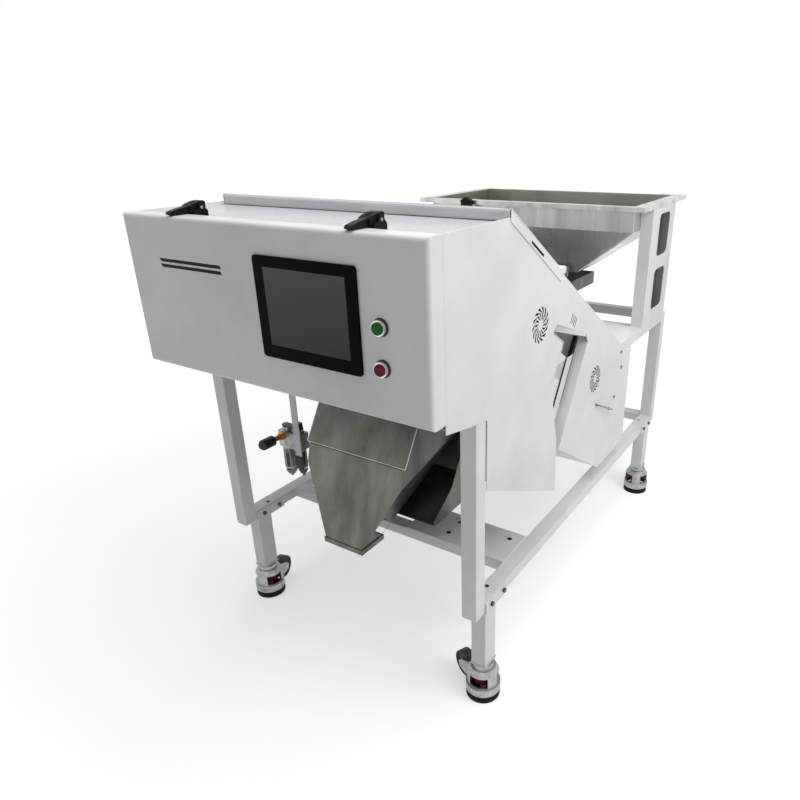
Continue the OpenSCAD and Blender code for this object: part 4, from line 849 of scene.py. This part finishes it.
class SORTER_OT_stage(bpy.types.Operator):
    """Floor, soft lamps, white surroundings and the camera"""
    bl_idname = "sorter.stage"
    bl_label = "Stage"

    def execute(self, context):
        scene = context.scene
        floor_mesh = bmesh.new()
        bmesh.ops.create_grid(floor_mesh, x_segments=2, y_segments=2, size=14)
        data = bpy.data.meshes.new("floor")
        floor_mesh.to_mesh(data)
        floor_mesh.free()
        floor = bpy.data.objects.new("floor", data)
        scene.collection.objects.link(floor)
        pale, tree, place = new_finish("pale_floor")
        reach = add(tree, "ShaderNodeVectorMath", links={0: place}, operation="LENGTH")
        fade = add(tree, "ShaderNodeMapRange",
                   {"From Min": 1.2, "From Max": 4.0, "To Min": 0.5, "To Max": 0.8},
                   {"Value": reach.outputs["Value"]})
        glow = add(tree, "ShaderNodeMath", links={0: eye_rays(tree), 1: fade.outputs[0]},
                   operation="MULTIPLY")
        light = add(tree, "ShaderNodeEmission", links={"Strength": glow.outputs[0]})
        chalk = add(tree, "ShaderNodeBsdfDiffuse", {"Color": linear("#E4E4E4")})
        both = add(tree, "ShaderNodeAddShader", links={0: chalk.outputs[0], 1: light.outputs[0]})
        add(tree, "ShaderNodeOutputMaterial", links={"Surface": both.outputs[0]})
        data.materials.append(pale)

        world = bpy.data.worlds.new("studio")
        world.use_nodes = True
        scene.world = world
        tree = world.node_tree
        tree.nodes.clear()
        level = add(tree, "ShaderNodeMapRange", {"To Min": 0.335, "To Max": 1.0}, {"Value": eye_rays(tree)})
        sky = add(tree, "ShaderNodeBackground", {"Color": (1, 1, 1, 1)}, {"Strength": level.outputs[0]})
        add(tree, "ShaderNodeOutputWorld", links={"Surface": sky.outputs[0]})

        for name, place, aim, size, power in (
                ("key_right", at(1800, 500, 2200), at(300, 700, 900), 1.4, 22),
                ("top_soft", at(300, 700, 3900), at(0, 700, 600), 2.6, 50)):
            lamp = bpy.data.lights.new(name, "AREA")
            lamp.size = size
            lamp.energy = power
            soft_box = bpy.data.objects.new(name, lamp)
            soft_box.location = place
            soft_box.rotation_mode = "QUATERNION"
            soft_box.rotation_quaternion = (aim - place).to_track_quat("-Z", "Y")
            soft_box.visible_glossy = False
            scene.collection.objects.link(soft_box)

        turn, tilt, roll = math.radians(33.163), math.radians(23.771), math.radians(0.98)
        level_ahead = Vector((-math.sin(turn), math.cos(turn), 0))
        ahead = level_ahead * math.cos(tilt) - Vector((0, 0, math.sin(tilt)))
        right = Vector((math.cos(turn), math.sin(turn), 0))
        down = ahead.cross(right)
        image_right = math.cos(roll) * right + math.sin(roll) * down
        image_down = math.cos(roll) * down - math.sin(roll) * right
        lens = bpy.data.cameras.new("camera")
        lens.sensor_width = 36
        lens.lens = lens.sensor_width * FOCAL_PX / IMAGE_PX
        lens.shift_x = 0.5 - CENTRE_PX[0] / IMAGE_PX
        lens.shift_y = CENTRE_PX[1] / IMAGE_PX - 0.5
        lens.clip_start, lens.clip_end = 0.05, 60
        camera = bpy.data.objects.new("camera", lens)
        facing = Matrix((image_right, -image_down, -ahead)).transposed().to_4x4()
        camera.matrix_world = Matrix.Translation(at(*CAMERA_AT)) @ facing
        scene.collection.objects.link(camera)
        scene.camera = camera
        scene.view_settings.view_transform = "Standard"
        return {"FINISHED"}


STEPS = (
    SORTER_OT_painted, SORTER_OT_sheet_trim, SORTER_OT_stainless, SORTER_OT_leaf_springs, SORTER_OT_cover_hem,
    SORTER_OT_casters, SORTER_OT_display, SORTER_OT_buttons, SORTER_OT_stripes, SORTER_OT_latches,
    SORTER_OT_air_unit, SORTER_OT_air_fittings, SORTER_OT_side_fittings, SORTER_OT_screens,
    SORTER_OT_closures, SORTER_OT_seams, SORTER_OT_inner_works, SORTER_OT_stage)


class SORTER_PT_panel(bpy.types.Panel):
    """Lists the sorter's sizes, colours and steps"""
    bl_idname = "SORTER_PT_panel"
    bl_label = "Sorter"
    bl_space_type = "VIEW_3D"
    bl_region_type = "UI"
    bl_category = "Sorter"

    def draw(self, context):
        for group in (context.scene.sorter_sizes, context.scene.sorter_colours):
            for name in group.__annotations__:
                self.layout.prop(group, name)
        for step in STEPS:
            self.layout.operator(step.bl_idname)


CLASSES = (SorterSizes, SorterColours, *STEPS, SORTER_PT_panel)


def register():
    for cls in CLASSES:
        bpy.utils.register_class(cls)
    bpy.types.Scene.sorter_sizes = PointerProperty(type=SorterSizes)
    bpy.types.Scene.sorter_colours = PointerProperty(type=SorterColours)


def unregister():
    del bpy.types.Scene.sorter_colours
    del bpy.types.Scene.sorter_sizes
    for cls in reversed(CLASSES):
        bpy.utils.unregister_class(cls)


def main():
    register()
    for step in STEPS:
        getattr(bpy.ops.sorter, step.bl_idname.split(".")[1])()


if __name__ == "__main__":
    main()
